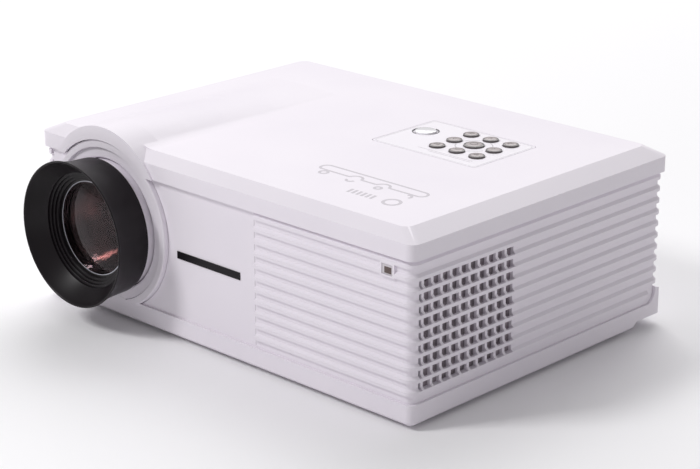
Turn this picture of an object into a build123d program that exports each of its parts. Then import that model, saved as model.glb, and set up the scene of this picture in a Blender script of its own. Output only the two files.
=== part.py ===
"""Video projector with a built-in disc player.

Lengths are in millimetres. +Z is up, the lens looks along -Y and the vent grid is on +X.
The model is laid out about the middle of the case, and FRAME_Y then moves every piece so
that the origin lies under the middle of the whole outline, on the surface it stands on.
"""

from build123d import *
import os
from math import cos, pi, radians, sin, sqrt

# ---------------------------------------------------------------- case
CASE_W = 330.0              # lid, across the skirt
CASE_D = 240.0              # lid, front to back
LEFT = -CASE_W / 2
RIGHT = CASE_W / 2
FRONT = -CASE_D / 2
BACK = CASE_D / 2
FOOT_H = 3.0                # floor to the underside of the pan
LID_TOP = 120.0             # floor to the flat top
SKIRT_TOP = 114.0           # where the sloping edge ends
SKIRT_BOTTOM = 104.0        # joint line between lid and walls
BEVEL_X = 12.5              # slope of the lid, seen from above, left and right
BEVEL_Y = 8.5               # the same, front and back
LID_WALL = 3.0
LID_TOP_WALL = 2.5
LID_CORNER = 6.0
OVERHANG = 1.5              # lid past the base and the rib noses
RIB_DEPTH = 1.7             # rib noses proud of the wall
WALL = 2.2
WALL_CORNER = 5.0
BASE_TOP = 16.0             # joint line between walls and base
BASE_WALL = 3.0
BASE_FLOOR = 2.5
FIT = 0.1                   # between fixed mouldings that lap
GAP = 0.3                   # around a loose or moving piece

# base, at the back
REAR_LIP_Y = BACK + 1.7     # rear face of the raised lip
REAR_LIP_Z = 26.5
REAR_LIP_FALL = 3.0
REAR_STEP_Y = BACK - 29.0   # where the pan steps up
REAR_STEP_RUN = 4.0
REAR_STEP_H = 4.4
CHEEK_Y = BACK - 12.0       # where the side of the base starts to rise
CHEEK_RUN = 6.0
REAR_STEP_R = 3.0           # rounding of both corners of that step
BASE_EDGE = 2.0             # slope of the lower edge

# ribs and vents
RIB_TOP = 102.8             # root of the highest rib
RIB_PITCH = 7.75
RIB_COUNT = 11
RIB_H = 3.9
RIB_NOSE = 2.2              # upright part of a rib, which alone crosses the vents
SEAM_X = RIGHT - 130.5      # left end of the front ribs
REAR_RIB_X = RIGHT - 11.5   # inner end of the ribs that wrap round the back
VENT_COLS = 10
VENT_PITCH = 8.05
VENT_W = 6.0
VENT_FIRST_Y = FRONT + 16.0 # centre of the column nearest the front
VENT_PART_W = 2.0           # narrow slot at the front end of each row
INTAKE_FIRST_Y = BACK - 96.0# left wall, centre of its first column
INTAKE_COLS = 5

# lens, hood and their ring in the front
LENS_X = LEFT + 65.0
LENS_Z = 64.3
RING_R = 55.5
RING_FACE_Y = FRONT - 0.4
RING_STEP_R = 50.6
RING_STEP = 1.8
RING_BORE_R = 43.2
SEAT_R = 58.0
SEAT_T = 2.0
ARCH_FACE_Y = FRONT - 1.5
ARCH_R = 55.0
ARCH_Z = 74.3               # centre of the arch over the ring
ARCH_DEPTH = 22.0
HUMP_BACK_Y = BACK - 60.0
HUMP_BACK_RISE = 1.6
HUMP_SHOULDER = 28.0        # half width where the crown turns into its fillet
HUMP_FOOT = 37.0            # half width at the lid
HUMP_WALL = 2.5
HUMP_SINK = 0.5             # extra wall where the inside of the hump meets arch and lid
HOOD_FRONT_Y = FRONT - 30.5
HOOD_BACK_Y = FRONT - 4.0
HOOD_FRONT_R = 48.0
HOOD_BACK_R = 44.8
HOOD_RIM = 1.3
HOOD_STEPS = 3              # ledges round the front glass
HOOD_STEP_RUN = 1.85
HOOD_STEP_RISE = 1.4
BARREL_R = 41.4
BARREL_FRONT_Y = FRONT - 12.0
BARREL_BACK_Y = FRONT + 58.0
BARREL_BORE_R = 36.0
GLASS_R = 31.0
GLASS_EDGE = 5.8
GLASS_RISE = 4.7
REAR_GLASS_T = 8.0
MOUNT_WALL = 2.8
GLIDE_W = 6.0
GLIDE_Y = FRONT + 20.0      # front face of the guide ring's groove
GROOVE_R = 39.6
GLIDE_KEY_W = 4.0
FOCUS_TRAVEL = 7.0

# light path
TUNNEL_W = 104.0
TUNNEL_BOTTOM = 20.0
TUNNEL_TOP = 108.0
TUNNEL_WALL = 2.0
TUNNEL_FRONT_Y = FRONT + 60.0
TUNNEL_LENGTH = 104.0
TUNNEL_BACK_Y = TUNNEL_FRONT_Y + TUNNEL_LENGTH
PLATE_T = 3.0
FIELD_T = 2.0
PICTURE_W = 80.0
PICTURE_H = 60.0
PICTURE_SINK = 0.6
CONDENSER_R = 38.0
CONDENSER_T = 8.0
LED_SIZE = 50.0
SINK_W = 80.0
SINK_BOTTOM = 28.0
SINK_H = 72.0
SINK_BACK_Y = BACK - 32.0
SINK_FINS = 12

# keypad
KEYPAD_X = RIGHT - 101.8
KEYPAD_Y = BACK - 90.3
KEYPAD_W = 87.0
KEYPAD_D = 61.5
KEYPAD_T = 1.2
KEY_R = 5.1
KEY_OK_R = 6.6
KEY_PITCH = 16.4
KEYS_X = KEYPAD_X + 13.0    # centre of the nine keys
KEYS_Y = KEYPAD_Y + 4.6
KEY_RISE = 1.5              # keys proud of the lid
KEY_EDGE = 0.8              # slope round the top of a key
KEY_FLANGE = 0.9
KEY_FLANGE_T = 1.5
KEY_STEM = 2.6
KEY_STEM_END = 109.5
KEY_WINDOW = 1.5            # opening in the lid past the keys
POWER_X = KEYPAD_X - 30.8
POWER_Y = KEYPAD_Y + 8.0
POWER_R = 6.9
POWER_DISH_R = 9.2
BOARD_T = 1.6
KEY_BOARD_TOP = 107.6

# small things in the front
IR_X = RIGHT - 21.1
IR_Z = 94.9
IR_W = 8.0
IR_H = 6.0
STRIP_X0 = LENS_X + RING_R + 8.5
STRIP_X1 = SEAM_X - 13.5
STRIP_Z0 = 56.2
STRIP_Z1 = 61.0
STRIP_T = 0.6

# fan
FAN_SIZE = 80.0
FAN_T = 25.0
FAN_BORE_R = 38.0
FAN_TIP_R = 36.6
FAN_HUB_R = 16.5
FAN_Z = 54.3
FAN_BLADES = 7
FAN_Y = VENT_FIRST_Y + VENT_PITCH * (VENT_COLS - 1) / 2

# disc drive
DRIVE_X0 = RIGHT - 160.0
DRIVE_X1 = RIGHT - 14.0
DRIVE_Y0 = FAN_Y + FAN_SIZE / 2 + 1.775
DRIVE_Y1 = BACK - 6.4
DRIVE_BOTTOM = 52.0
DRIVE_SHEET = 1.5
COVER_Z = 80.0
COVER_T = 1.2
TRAY_W = 128.0
TRAY_Z = 68.0
TRAY_T = 6.0
TRAY_Y0 = DRIVE_Y0 + 2.0
DISC_R = 60.0
DISC_CLEAR = 1.0
DISC_Y = DRIVE_Y1 - 61.6
DISC_WELL = 3.0
SMALL_WELL_R = 41.0
SMALL_WELL = 1.2
SLOT_HALF = 18.0
RAIL_TOP_GAP = 0.3
FASCIA_W = 141.0
FASCIA_H = 20.0
FASCIA_Z = 62.0
FASCIA_T = 3.2
HUB_R = 13.5
HUB_TOP = 72.6
MOTOR_R = 12.0
PUCK_R = 14.0
PUCK_NECK_R = 9.5
SLED_W = 44.0
SLED_L = 24.0
ROD_R = 1.5
ROD_X = 20.0                # rods, left and right of the hub
ROD_Z = 60.0
ROD_Y1 = DISC_Y - 10.0
GEAR_TEETH = 20
GEAR_MODULE = 0.8
GEAR_Y = DRIVE_Y1 - 15.6
RACK_X = DRIVE_X0 + 19.0
RACK_H = 3.0
EJECT_X = DRIVE_X1 - 13.0
EJECT_Z = 46.0
EJECT_W = 12.0
EJECT_H = 5.0

# back panel
PANEL_X0 = LEFT + 14.0
PANEL_X1 = DRIVE_X0 - 8.0
PANEL_W = PANEL_X1 - PANEL_X0
PANEL_Z0 = 28.0
PANEL_Z1 = 98.0
PANEL_CORNER = 3.0
INLET_X = PANEL_X0 + 20.0
INLET_Z = 44.0
SWITCH_Z = 76.0
ROCKER_W = 16.0
ROCKER_Y = BACK - 5.2
ROCKER_SWING = 20.0
VGA_X = PANEL_X0 + 0.4 * PANEL_W
HDMI_X = PANEL_X0 + 0.6 * PANEL_W
USB_X = HDMI_X
SOCKET_Z = 40.0
SOCKET_Z2 = 54.0
JACK_X = PANEL_X0 + 0.74 * PANEL_W
JACK_PITCH = 0.095 * PANEL_W
SPEAKER_X = PANEL_X0 + 0.67 * PANEL_W
SPEAKER_Z = 80.0
SPEAKER_R = 15.0
SPEAKER_DEPTH = 12.0

# underside
FOOT_X = RIGHT - 25.0
FOOT_Y = FRONT + 24.0
FOOT_BACK_Y = BACK - 13.0
FOOT_R = 9.0
THREAD_R = 4.0              # adjusting screw
LEG_Y = FRONT + 20.0
LEG_WHEEL_R = 9.5
LEG_PAD_R = 6.6
LEG_TRAVEL = 14.0
INSERT_X = 60.0             # hanging bracket, half the hole spacing
INSERT_Y = 50.0
INSERT_R = 2.0
INSERT_DEPTH = 8.0
BOSS_R = 5.0
SCREW_X = RIGHT - 15.0
SCREW_Y = BACK - 50.0
SCREW_BOSS_TOP = 14.0
BOARD_Z = 18.0
BOARD_EDGE = 6.0            # from the edge of a board to its pillars
MAIN_X0 = DRIVE_X0 + 15.0
MAIN_X1 = DRIVE_X1 - 15.0
MAIN_Y0 = DRIVE_Y0 + 8.0
MAIN_Y1 = DRIVE_Y1 - 23.6
SUPPLY_X0 = LENS_X + 60.0   # power board
SUPPLY_X1 = RIGHT - 65.0
SUPPLY_Y0 = FRONT + 30.0
SUPPLY_Y1 = DRIVE_Y0 - 8.0

# ---------------------------------------------------------------- derived
WALL_W = CASE_W - 2 * (OVERHANG + RIB_DEPTH)# outside of the plain wall
WALL_D = CASE_D - 2 * (OVERHANG + RIB_DEPTH)
WALL_X = WALL_W / 2
WALL_Y = WALL_D / 2
NOSE_X = WALL_X + RIB_DEPTH
NOSE_Y = WALL_Y + RIB_DEPTH
INNER_X = WALL_X - WALL
INNER_Y = WALL_Y - WALL
LID_UNDER = LID_TOP - LID_TOP_WALL
FLOOR_Z = FOOT_H + BASE_FLOOR
REAR_FLOOR_Z = FLOOR_Z + REAR_STEP_H
FRAME_Y = -(HOOD_FRONT_Y + REAR_LIP_Y) / 2
DISC_X = (DRIVE_X0 + DRIVE_X1) / 2
TUNNEL_X0 = LENS_X - TUNNEL_W / 2
TUNNEL_X1 = LENS_X + TUNNEL_W / 2
MOUNT_BORE_R = BARREL_R + 0.8
SINK_FRONT_Y = TUNNEL_BACK_Y + CONDENSER_T + 5
GEAR_R = GEAR_TEETH * GEAR_MODULE / 2
GEAR_STEP = pi * GEAR_MODULE

# ---------------------------------------------------------------- helpers
def block(x0, x1, y0, y1, z0, z1):
    """Box between two corners."""
    box = Box(x1 - x0, y1 - y0, z1 - z0)
    return Pos((x0 + x1) / 2, (y0 + y1) / 2, (z0 + z1) / 2) * box


def slab(width, depth, corner, z0, z1):
    """Upright prism on a rounded rectangle about the middle of the case."""
    return extrude(Pos(0, 0, z0) * RectangleRounded(width, depth, corner), z1 - z0)


def rounded_block(x0, x1, y0, y1, z0, z1, corner):
    """Prism along Y on a rounded rectangle in X and Z."""
    plane = Plane(origin=((x0 + x1) / 2, y1, (z0 + z1) / 2), x_dir=(1, 0, 0), z_dir=(0, -1, 0))
    return extrude(plane * RectangleRounded(x1 - x0, z1 - z0, corner), y1 - y0)


def rod(radius, x, y, z0, z1):
    """Upright cylinder between two heights."""
    return Pos(x, y, (z0 + z1) / 2) * Cylinder(radius, z1 - z0)


def rod_x(radius, x0, x1, y, z):
    """Cylinder along X."""
    return Pos((x0 + x1) / 2, y, z) * (Rot(0, 90, 0) * Cylinder(radius, x1 - x0))


def rod_y(radius, x, y0, y1, z):
    """Cylinder along Y."""
    return Pos(x, (y0 + y1) / 2, z) * (Rot(90, 0, 0) * Cylinder(radius, y1 - y0))


def turned(points, x=LENS_X, z=LENS_Z):
    """Body of revolution about an axis along Y, from a section of (radius, y) points."""
    section = make_face(Polyline(*points, close=True))
    return Pos(x, 0, z) * revolve(section, Axis.Y)


def turned_up(points, x, y):
    """Body of revolution about an upright axis, from a section of (radius, z) points."""
    section = make_face(Polyline(*[(r, 0, z) for r, z in points], close=True))
    return Pos(x, y, 0) * revolve(section, Axis.Z)


def prism_yz(points, x0, x1):
    """Prism along X on an outline of (y, z) points."""
    outline = make_face(Polyline(*[(x0, y, z) for y, z in points], close=True))
    return extrude(outline, x1 - x0, dir=(1, 0, 0))


# ---------------------------------------------------------------- lid
def crown(y, rise, drop=0.0, foot=HUMP_FOOT):
    """Section of the half-barrel over the lens, rise being its height above the lid."""
    full = ARCH_Z + ARCH_R - LID_TOP
    shoulder = (sqrt(ARCH_R**2 - HUMP_SHOULDER**2) + ARCH_Z - LID_TOP) * rise / full
    top = LID_TOP - drop
    left_foot = (LENS_X - foot, y, top)
    right_foot = (LENS_X + foot, y, top)
    left = (LENS_X - HUMP_SHOULDER, y, top + shoulder)
    right = (LENS_X + HUMP_SHOULDER, y, top + shoulder)
    base = LID_UNDER - drop
    edges = [
        TangentArc(left_foot, left, tangent=(1, 0, 0)),
        ThreePointArc(left, (LENS_X, y, top + rise), right),
        TangentArc(right_foot, right, tangent=(-1, 0, 0)),
        Line(right_foot, (LENS_X + foot, y, base)),
        Line((LENS_X + foot, y, base), (LENS_X - foot, y, base)),
        Line((LENS_X - foot, y, base), left_foot),
    ]
    return make_face(edges)


def hump(drop=0.0, front=ARCH_FACE_Y + 10.0, back=HUMP_BACK_Y, foot=HUMP_FOOT):
    """Half-barrel that flattens towards the back."""
    rise = ARCH_Z + ARCH_R - LID_TOP
    return loft([crown(front, rise, drop, foot), crown(back, HUMP_BACK_RISE, drop, foot)], ruled=True)


def arch(radius, y0, y1):
    """Round-topped block over the ring, standing on the joint line."""
    barrel = rod_y(radius, LENS_X, y0, y1, ARCH_Z)
    keep = block(LENS_X - radius, LENS_X + radius, y0, y1, SKIRT_BOTTOM, ARCH_Z + radius)
    return barrel & keep


def lid_block(width, depth, corner, z0, z1, z2, slope_x, slope_y):
    """Skirt with a sloping edge above it."""
    skirt = slab(width, depth, corner, z0, z1)
    low = Pos(0, 0, z1) * RectangleRounded(width, depth, corner)
    high = Pos(0, 0, z2) * RectangleRounded(width - 2 * slope_x, depth - 2 * slope_y, corner)
    return skirt + loft([low, high], ruled=True)


def key_places():
    """Centre and radius of each of the nine keys, row by row from the front left."""
    places = []
    for row in (-1, 0, 1):
        for col in (-1, 0, 1):
            radius = KEY_OK_R if row == 0 and col == 0 else KEY_R
            places.append((KEYS_X + col * KEY_PITCH, KEYS_Y + row * KEY_PITCH, radius))
    return places


def top_cover():
    outer = lid_block(CASE_W, CASE_D, LID_CORNER, SKIRT_BOTTOM, SKIRT_TOP, LID_TOP, BEVEL_X, BEVEL_Y)
    inner = lid_block(
        CASE_W - 2 * LID_WALL, CASE_D - 2 * LID_WALL, LID_CORNER - LID_WALL + 0.5,
        SKIRT_BOTTOM, SKIRT_TOP - 1.0, LID_UNDER, BEVEL_X, BEVEL_Y,
    )
    arch_inside = arch(ARCH_R - HUMP_WALL, ARCH_FACE_Y + LID_WALL, ARCH_FACE_Y + ARCH_DEPTH)
    hump_front = ARCH_FACE_Y + ARCH_DEPTH - 1.0
    hump_drop = HUMP_WALL + HUMP_SINK
    hump_inside = hump(hump_drop, hump_front, HUMP_BACK_Y - LID_WALL, HUMP_FOOT - LID_WALL)
    cover = outer + arch(ARCH_R, ARCH_FACE_Y, ARCH_FACE_Y + ARCH_DEPTH) + hump()
    cover -= inner
    cover -= arch_inside
    cover -= hump_inside
    cover -= rod_y(RING_R + GAP, LENS_X, ARCH_FACE_Y - 5, ARCH_FACE_Y + ARCH_DEPTH, LENS_Z)
    plate = Pos(KEYPAD_X, KEYPAD_Y, LID_TOP - KEYPAD_T) * RectangleRounded(KEYPAD_W, KEYPAD_D, 3.0)
    cover -= extrude(plate, KEYPAD_T + 1)
    for x, y, half in ((KEYS_X, KEYS_Y, KEY_PITCH + KEY_R), (POWER_X, POWER_Y, POWER_R)):
        half += KEY_WINDOW
        cover -= block(x - half, x + half, y - half, y + half, LID_UNDER - 1, LID_TOP)
    for x in (KEYPAD_X - KEYPAD_W / 2 + 4, KEYPAD_X + KEYPAD_W / 2 - 4):
        for y in (KEYPAD_Y - KEYPAD_D / 2 + 4, KEYPAD_Y + KEYPAD_D / 2 - 4):
            cover += block(x - 2.5, x + 2.5, y - 2.5, y + 2.5, KEY_BOARD_TOP, LID_UNDER)
    return cover


def keypad_plate():
    plate = Pos(KEYPAD_X, KEYPAD_Y, LID_TOP - KEYPAD_T)
    plate = extrude(plate * RectangleRounded(KEYPAD_W - 0.9, KEYPAD_D - 0.9, 2.6), KEYPAD_T)
    for x, y, radius in key_places():
        plate -= rod(radius + GAP, x, y, LID_TOP - KEYPAD_T, LID_TOP)
    dish = turned_up(
        [(0, LID_TOP - 0.7), (POWER_R + 0.9, LID_TOP - 0.7), (POWER_DISH_R, LID_TOP), (0, LID_TOP)],
        POWER_X, POWER_Y,
    )
    return plate - dish - rod(POWER_R + GAP, POWER_X, POWER_Y, LID_TOP - KEYPAD_T, LID_TOP)


def key(x, y, radius, rise):
    """Key cap with its square retaining flange under the plate and a stem over its switch."""
    top = LID_TOP + rise
    low = LID_TOP - KEYPAD_T - GAP
    shoulder = top - KEY_EDGE
    cap = turned_up([(0, low), (radius, low), (radius, shoulder), (radius - KEY_EDGE, top), (0, top)], x, y)
    half = radius + KEY_FLANGE
    cap += block(x - half, x + half, y - half, y + half, low - KEY_FLANGE_T, low)
    half = KEY_STEM / 2
    return cap + block(x - half, x + half, y - half, y + half, KEY_STEM_END, low - KEY_FLANGE_T)


def keypad_board():
    x0 = KEYPAD_X - KEYPAD_W / 2 + 1
    x1 = KEYPAD_X + KEYPAD_W / 2 - 1
    y0 = KEYPAD_Y - KEYPAD_D / 2 + 1
    y1 = KEYPAD_Y + KEYPAD_D / 2 - 1
    return block(x0, x1, y0, y1, KEY_BOARD_TOP - BOARD_T, KEY_BOARD_TOP)


# ---------------------------------------------------------------- walls
def rib_back(top):
    """Sloping back of one rib, all the way round and solid inside."""
    low = top - RIB_H + RIB_NOSE
    nose = Pos(0, 0, low) * RectangleRounded(2 * NOSE_X, 2 * NOSE_Y, WALL_CORNER + RIB_DEPTH)
    return loft([nose, Pos(0, 0, top) * RectangleRounded(WALL_W, WALL_D, WALL_CORNER)], ruled=True)


def rib_nose(top):
    """Upright nose under that back, solid inside."""
    low = top - RIB_H
    return slab(2 * NOSE_X, 2 * NOSE_Y, WALL_CORNER + RIB_DEPTH, low, low + RIB_NOSE)


def wall_slots(x0, x1, columns):
    """Upright slots through a side wall and the rib backs, as (y, width)."""
    low = RIB_TOP - RIB_PITCH * (RIB_COUNT - 1) - RIB_H + RIB_NOSE
    top = RIB_TOP - RIB_PITCH - RIB_H
    return [block(x0, x1, y - width / 2, y + width / 2, low, top) for y, width in columns]


def vent_columns():
    """Outlet grid on the right, with a narrow column at its front end."""
    columns = [(VENT_FIRST_Y + col * VENT_PITCH, VENT_W) for col in range(VENT_COLS)]
    return columns + [(VENT_FIRST_Y - VENT_PITCH + (VENT_W - VENT_PART_W) / 2, VENT_PART_W)]


def intake_columns():
    """Intake grid on the left, coarser than the outlet."""
    return [(INTAKE_FIRST_Y + col * 2 * VENT_PITCH, 2 * VENT_W) for col in range(INTAKE_COLS)]


def speaker_slots():
    """Upright slots in a round field, in front of the speaker."""
    slots = []
    for k in range(-3, 4):
        x = SPEAKER_X + k * 3.6
        half = sqrt(SPEAKER_R**2 - (k * 3.6) ** 2) - 2.0
        slots.append(block(x - 0.9, x + 0.9, INNER_Y - 1, WALL_Y + 1, SPEAKER_Z - half, SPEAKER_Z + half))
    return slots


def middle_frame():
    wall = slab(WALL_W, WALL_D, WALL_CORNER, BASE_TOP, SKIRT_BOTTOM + 7.0)
    slots = wall_slots(INNER_X - 1, NOSE_X + 1, vent_columns())
    slots += wall_slots(-NOSE_X - 1, -INNER_X + 1, intake_columns())
    inside = slab(2 * INNER_X, 2 * INNER_Y, WALL_CORNER - WALL, BASE_TOP - 1, SKIRT_BOTTOM + 8)
    tops = [RIB_TOP - RIB_PITCH * k for k in range(RIB_COUNT)]
    frame = (wall.fuse(*[rib_back(top) for top in tops]) - inside).cut(*slots)
    frame = frame.fuse(*[rib_nose(top) - wall for top in tops])
    smooth_left = -WALL_X + WALL_CORNER
    frame -= block(smooth_left, SEAM_X, -NOSE_Y - 1, -WALL_Y, BASE_TOP, SKIRT_BOTTOM)
    frame -= block(-REAR_RIB_X, REAR_RIB_X, WALL_Y, NOSE_Y + 1, BASE_TOP, SKIRT_BOTTOM)
    lip_zone = block(-NOSE_X - 1, NOSE_X + 1, CHEEK_Y - 1, NOSE_Y + 1, BASE_TOP, REAR_LIP_Z + 1)
    frame -= lip_zone - slab(WALL_W, WALL_D, WALL_CORNER, BASE_TOP, REAR_LIP_Z + 1)
    frame -= rod_y(RING_R + GAP, LENS_X, -NOSE_Y - 1, -INNER_Y, LENS_Z)
    seat = turned([
        (RING_BORE_R + 0.4, -INNER_Y), (SEAT_R, -INNER_Y),
        (SEAT_R, -INNER_Y + SEAT_T), (RING_BORE_R + 0.4, -INNER_Y + SEAT_T),
    ])
    pad = block(IR_X - 5.5, IR_X + 5.5, -NOSE_Y, -WALL_Y, IR_Z - 4.5, IR_Z + 4.5)
    frame = frame + seat + pad
    frame -= block(IR_X - IR_W / 2 - 0.2, IR_X + IR_W / 2 + 0.2, -NOSE_Y - 1, -INNER_Y + 1,
                   IR_Z - IR_H / 2 - 0.2, IR_Z + IR_H / 2 + 0.2)
    frame -= rounded_block(PANEL_X0, PANEL_X1, INNER_Y - 1, WALL_Y + 1, PANEL_Z0, PANEL_Z1, PANEL_CORNER)
    half = FASCIA_W / 2 + 0.5
    frame -= rounded_block(DISC_X - half, DISC_X + half, INNER_Y - 1, WALL_Y + 1,
                           FASCIA_Z - 0.5, FASCIA_Z + FASCIA_H + 0.5, 2.0)
    frame -= block(EJECT_X - EJECT_W / 2 - GAP, EJECT_X + EJECT_W / 2 + GAP, INNER_Y - 1, WALL_Y + 1,
                   EJECT_Z - EJECT_H / 2 - GAP, EJECT_Z + EJECT_H / 2 + GAP)
    return frame


def lens_bezel():
    back = -INNER_Y
    ring = turned([
        (RING_BORE_R, back), (RING_BORE_R, RING_FACE_Y + RING_STEP + 1.0),
        (RING_BORE_R + 1.0, RING_FACE_Y + RING_STEP), (RING_STEP_R - 0.6, RING_FACE_Y + RING_STEP),
        (RING_STEP_R, RING_FACE_Y), (RING_R - 0.7, RING_FACE_Y), (RING_R, RING_FACE_Y + 0.7), (RING_R, back),
    ])
    return ring - block(LENS_X - RING_R, LENS_X + RING_R, RING_FACE_Y - 1, back + 1, 0, BASE_TOP + FIT)


def ir_window():
    return block(IR_X - IR_W / 2, IR_X + IR_W / 2, -NOSE_Y + 0.3, -INNER_Y, IR_Z - IR_H / 2, IR_Z + IR_H / 2)


def name_strip():
    return block(STRIP_X0, STRIP_X1, -WALL_Y - STRIP_T, -WALL_Y, STRIP_Z0, STRIP_Z1)


# ---------------------------------------------------------------- base
def base_side(points, closing, floor, width):
    """Prism on a side outline of the base, with the two corners of its rear step rounded."""
    outline = make_face([Polyline(*points), closing])
    solid = extrude(Pos(-width / 2, 0, 0) * outline, width, dir=(1, 0, 0))
    edges = solid.edges().filter_by(Axis.X)
    edges = edges.filter_by_position(Axis.Y, REAR_STEP_Y - 1, REAR_STEP_Y + REAR_STEP_RUN + 1)
    return solid.fillet(REAR_STEP_R, edges.filter_by_position(Axis.Z, floor - 1, floor + REAR_STEP_H + 1))


def bottom_case():
    cheek_end = (0, CHEEK_Y + CHEEK_RUN, REAR_LIP_Z)
    cheek_start = (0, CHEEK_Y, BASE_TOP)
    step = FOOT_H + REAR_STEP_H
    points = [
        cheek_start, (0, -NOSE_Y, BASE_TOP), (0, -NOSE_Y, FOOT_H), (0, REAR_STEP_Y, FOOT_H),
        (0, REAR_STEP_Y + REAR_STEP_RUN, step), (0, REAR_LIP_Y, step),
        (0, REAR_LIP_Y, REAR_LIP_Z - REAR_LIP_FALL), cheek_end,
    ]
    middle = (0, CHEEK_Y + 0.71 * CHEEK_RUN, BASE_TOP + 0.29 * (REAR_LIP_Z - BASE_TOP))
    width = 2 * NOSE_X
    depth = REAR_LIP_Y + NOSE_Y
    shell = base_side(points, ThreePointArc(cheek_end, middle, cheek_start), FOOT_H, width)
    plan = Pos(0, (REAR_LIP_Y - NOSE_Y) / 2, FOOT_H)
    wide = plan * (Pos(0, 0, BASE_EDGE) * RectangleRounded(width, depth, WALL_CORNER))
    narrow = plan * RectangleRounded(width - 2 * BASE_EDGE, depth - 2 * BASE_EDGE, WALL_CORNER - BASE_EDGE)
    shell = shell & (loft([narrow, wide], ruled=True) + extrude(wide, REAR_LIP_Z))
    top = REAR_LIP_Z + 1
    front_top = (0, -NOSE_Y + BASE_WALL, top)
    back_top = (0, WALL_Y + FIT, top)
    points = [
        front_top, (0, -NOSE_Y + BASE_WALL, FLOOR_Z), (0, REAR_STEP_Y, FLOOR_Z),
        (0, REAR_STEP_Y + REAR_STEP_RUN, REAR_FLOOR_Z), (0, WALL_Y + FIT, REAR_FLOOR_Z), back_top,
    ]
    shell -= base_side(points, Line(back_top, front_top), FLOOR_Z, width - 2 * BASE_WALL)
    shell -= slab(WALL_W + 2 * FIT, WALL_D + 2 * FIT, WALL_CORNER + FIT, BASE_TOP, top)
    return finish_floor(shell)


def post(x, y, half, top):
    """Square pillar from inside the floor up to a board or bracket."""
    low = FOOT_H + 1.0 + (REAR_STEP_H if y > REAR_STEP_Y else 0)
    return block(x - half, x + half, y - half, y + half, low, top)


def finish_floor(shell):
    """Pillars, inserts for a hanging bracket, screw bosses and the leg's boss."""
    for x in (TUNNEL_X0 + 6, TUNNEL_X1 - 6):
        for y in (TUNNEL_FRONT_Y + 8, TUNNEL_BACK_Y - 8):
            shell += post(x, y, 4.0, TUNNEL_BOTTOM)
        shell += post(x + (12 if x < LENS_X else -12), (SINK_FRONT_Y + SINK_BACK_Y) / 2, 4.0, SINK_BOTTOM)
    for x in (DRIVE_X0 + 7, DRIVE_X1 - 7):
        for y in (DRIVE_Y0 + 7, INNER_Y - 12):
            shell += post(x, y, 4.0, DRIVE_BOTTOM)
    edge = BOARD_EDGE
    for x in (MAIN_X0 + edge, MAIN_X1 - edge):
        for y in (MAIN_Y0 + edge, MAIN_Y1 - edge):
            shell += post(x, y, 3.0, BOARD_Z)
    for x in (SUPPLY_X0 + edge, SUPPLY_X1 - edge):
        for y in (SUPPLY_Y0 + edge, SUPPLY_Y1 - edge):
            shell += post(x, y, 3.0, BOARD_Z)
    for x in (-INSERT_X, INSERT_X):
        for y in (-INSERT_Y, INSERT_Y):
            shell += post(x, y, BOSS_R, FOOT_H + INSERT_DEPTH + 2)
            shell -= rod(INSERT_R, x, y, FOOT_H - 1, FOOT_H + INSERT_DEPTH)
    for x in (-SCREW_X, SCREW_X):
        for y in (-SCREW_Y, SCREW_Y):
            shell += post(x, y, 4.0, SCREW_BOSS_TOP)
            shell -= rod(3.4, x, y, FOOT_H - 1, FOOT_H + 2.2)
            shell -= block(x - 1.3, x + 1.3, y - 1.3, y + 1.3, FOOT_H, SCREW_BOSS_TOP - 1)
    shell += post(0, LEG_Y, THREAD_R + 4.0, FOOT_H + LEG_TRAVEL + 2)
    shell -= rod(THREAD_R + GAP, 0, LEG_Y, FOOT_H - 1, FOOT_H + LEG_TRAVEL + 3)
    return shell


def rubber_feet():
    feet = []
    for x in (-FOOT_X, FOOT_X):
        for y, under in ((FOOT_Y, FOOT_H), (FOOT_BACK_Y, FOOT_H + REAR_STEP_H)):
            feet.append(rod(FOOT_R, x, y, 0, under))
    return Part() + feet


def case_screws():
    screws = []
    for x in (-SCREW_X, SCREW_X):
        for y in (-SCREW_Y, SCREW_Y):
            screws.append(rod(3.1, x, y, FOOT_H + 0.2, FOOT_H + 2.2))
            screws.append(block(x - 1.1, x + 1.1, y - 1.1, y + 1.1, FOOT_H + 2.2, SCREW_BOSS_TOP - 2))
    return Part() + screws


def leg_screw():
    """Threaded leg with its thumb wheel under the base."""
    return turned_up([
        (0, 1.6), (LEG_WHEEL_R, 1.6), (LEG_WHEEL_R, 2.7), (THREAD_R, 2.7),
        (THREAD_R, FOOT_H + LEG_TRAVEL + 1.5), (0, FOOT_H + LEG_TRAVEL + 1.5),
    ], 0, LEG_Y)


def leg_pad():
    return turned_up([(0, 0.2), (LEG_PAD_R, 0.2), (LEG_PAD_R, 1.3), (0, 1.3)], 0, LEG_Y)


# ---------------------------------------------------------------- lens
def lens_hood():
    """Flared hood, with a coned and stepped inside that runs down to the front glass."""
    mouth = GLASS_R + 1.4
    back = BARREL_FRONT_Y - GAP
    steps = []
    for k in range(HOOD_STEPS, 0, -1):
        radius = mouth + k * HOOD_STEP_RUN
        y = back - HOOD_STEP_RISE * (k + 0.4)
        steps += [(radius, y - HOOD_STEP_RISE), (radius, y)]
    steps += [(mouth, steps[-1][1]), (mouth, back)]
    length = HOOD_BACK_Y - HOOD_FRONT_Y
    return turned([(HOOD_FRONT_R - HOOD_RIM, HOOD_FRONT_Y)] + steps + [
        (BARREL_R + 0.2, back), (BARREL_R + 0.2, HOOD_BACK_Y), (HOOD_BACK_R - 0.5, HOOD_BACK_Y),
        (HOOD_BACK_R, HOOD_BACK_Y - 0.5), (HOOD_BACK_R + 0.4, HOOD_BACK_Y - 0.45 * length),
        (HOOD_BACK_R + 1.4, HOOD_BACK_Y - 0.72 * length),
        (HOOD_FRONT_R, HOOD_FRONT_Y + 0.5), (HOOD_FRONT_R - 0.4, HOOD_FRONT_Y),
    ])


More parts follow.
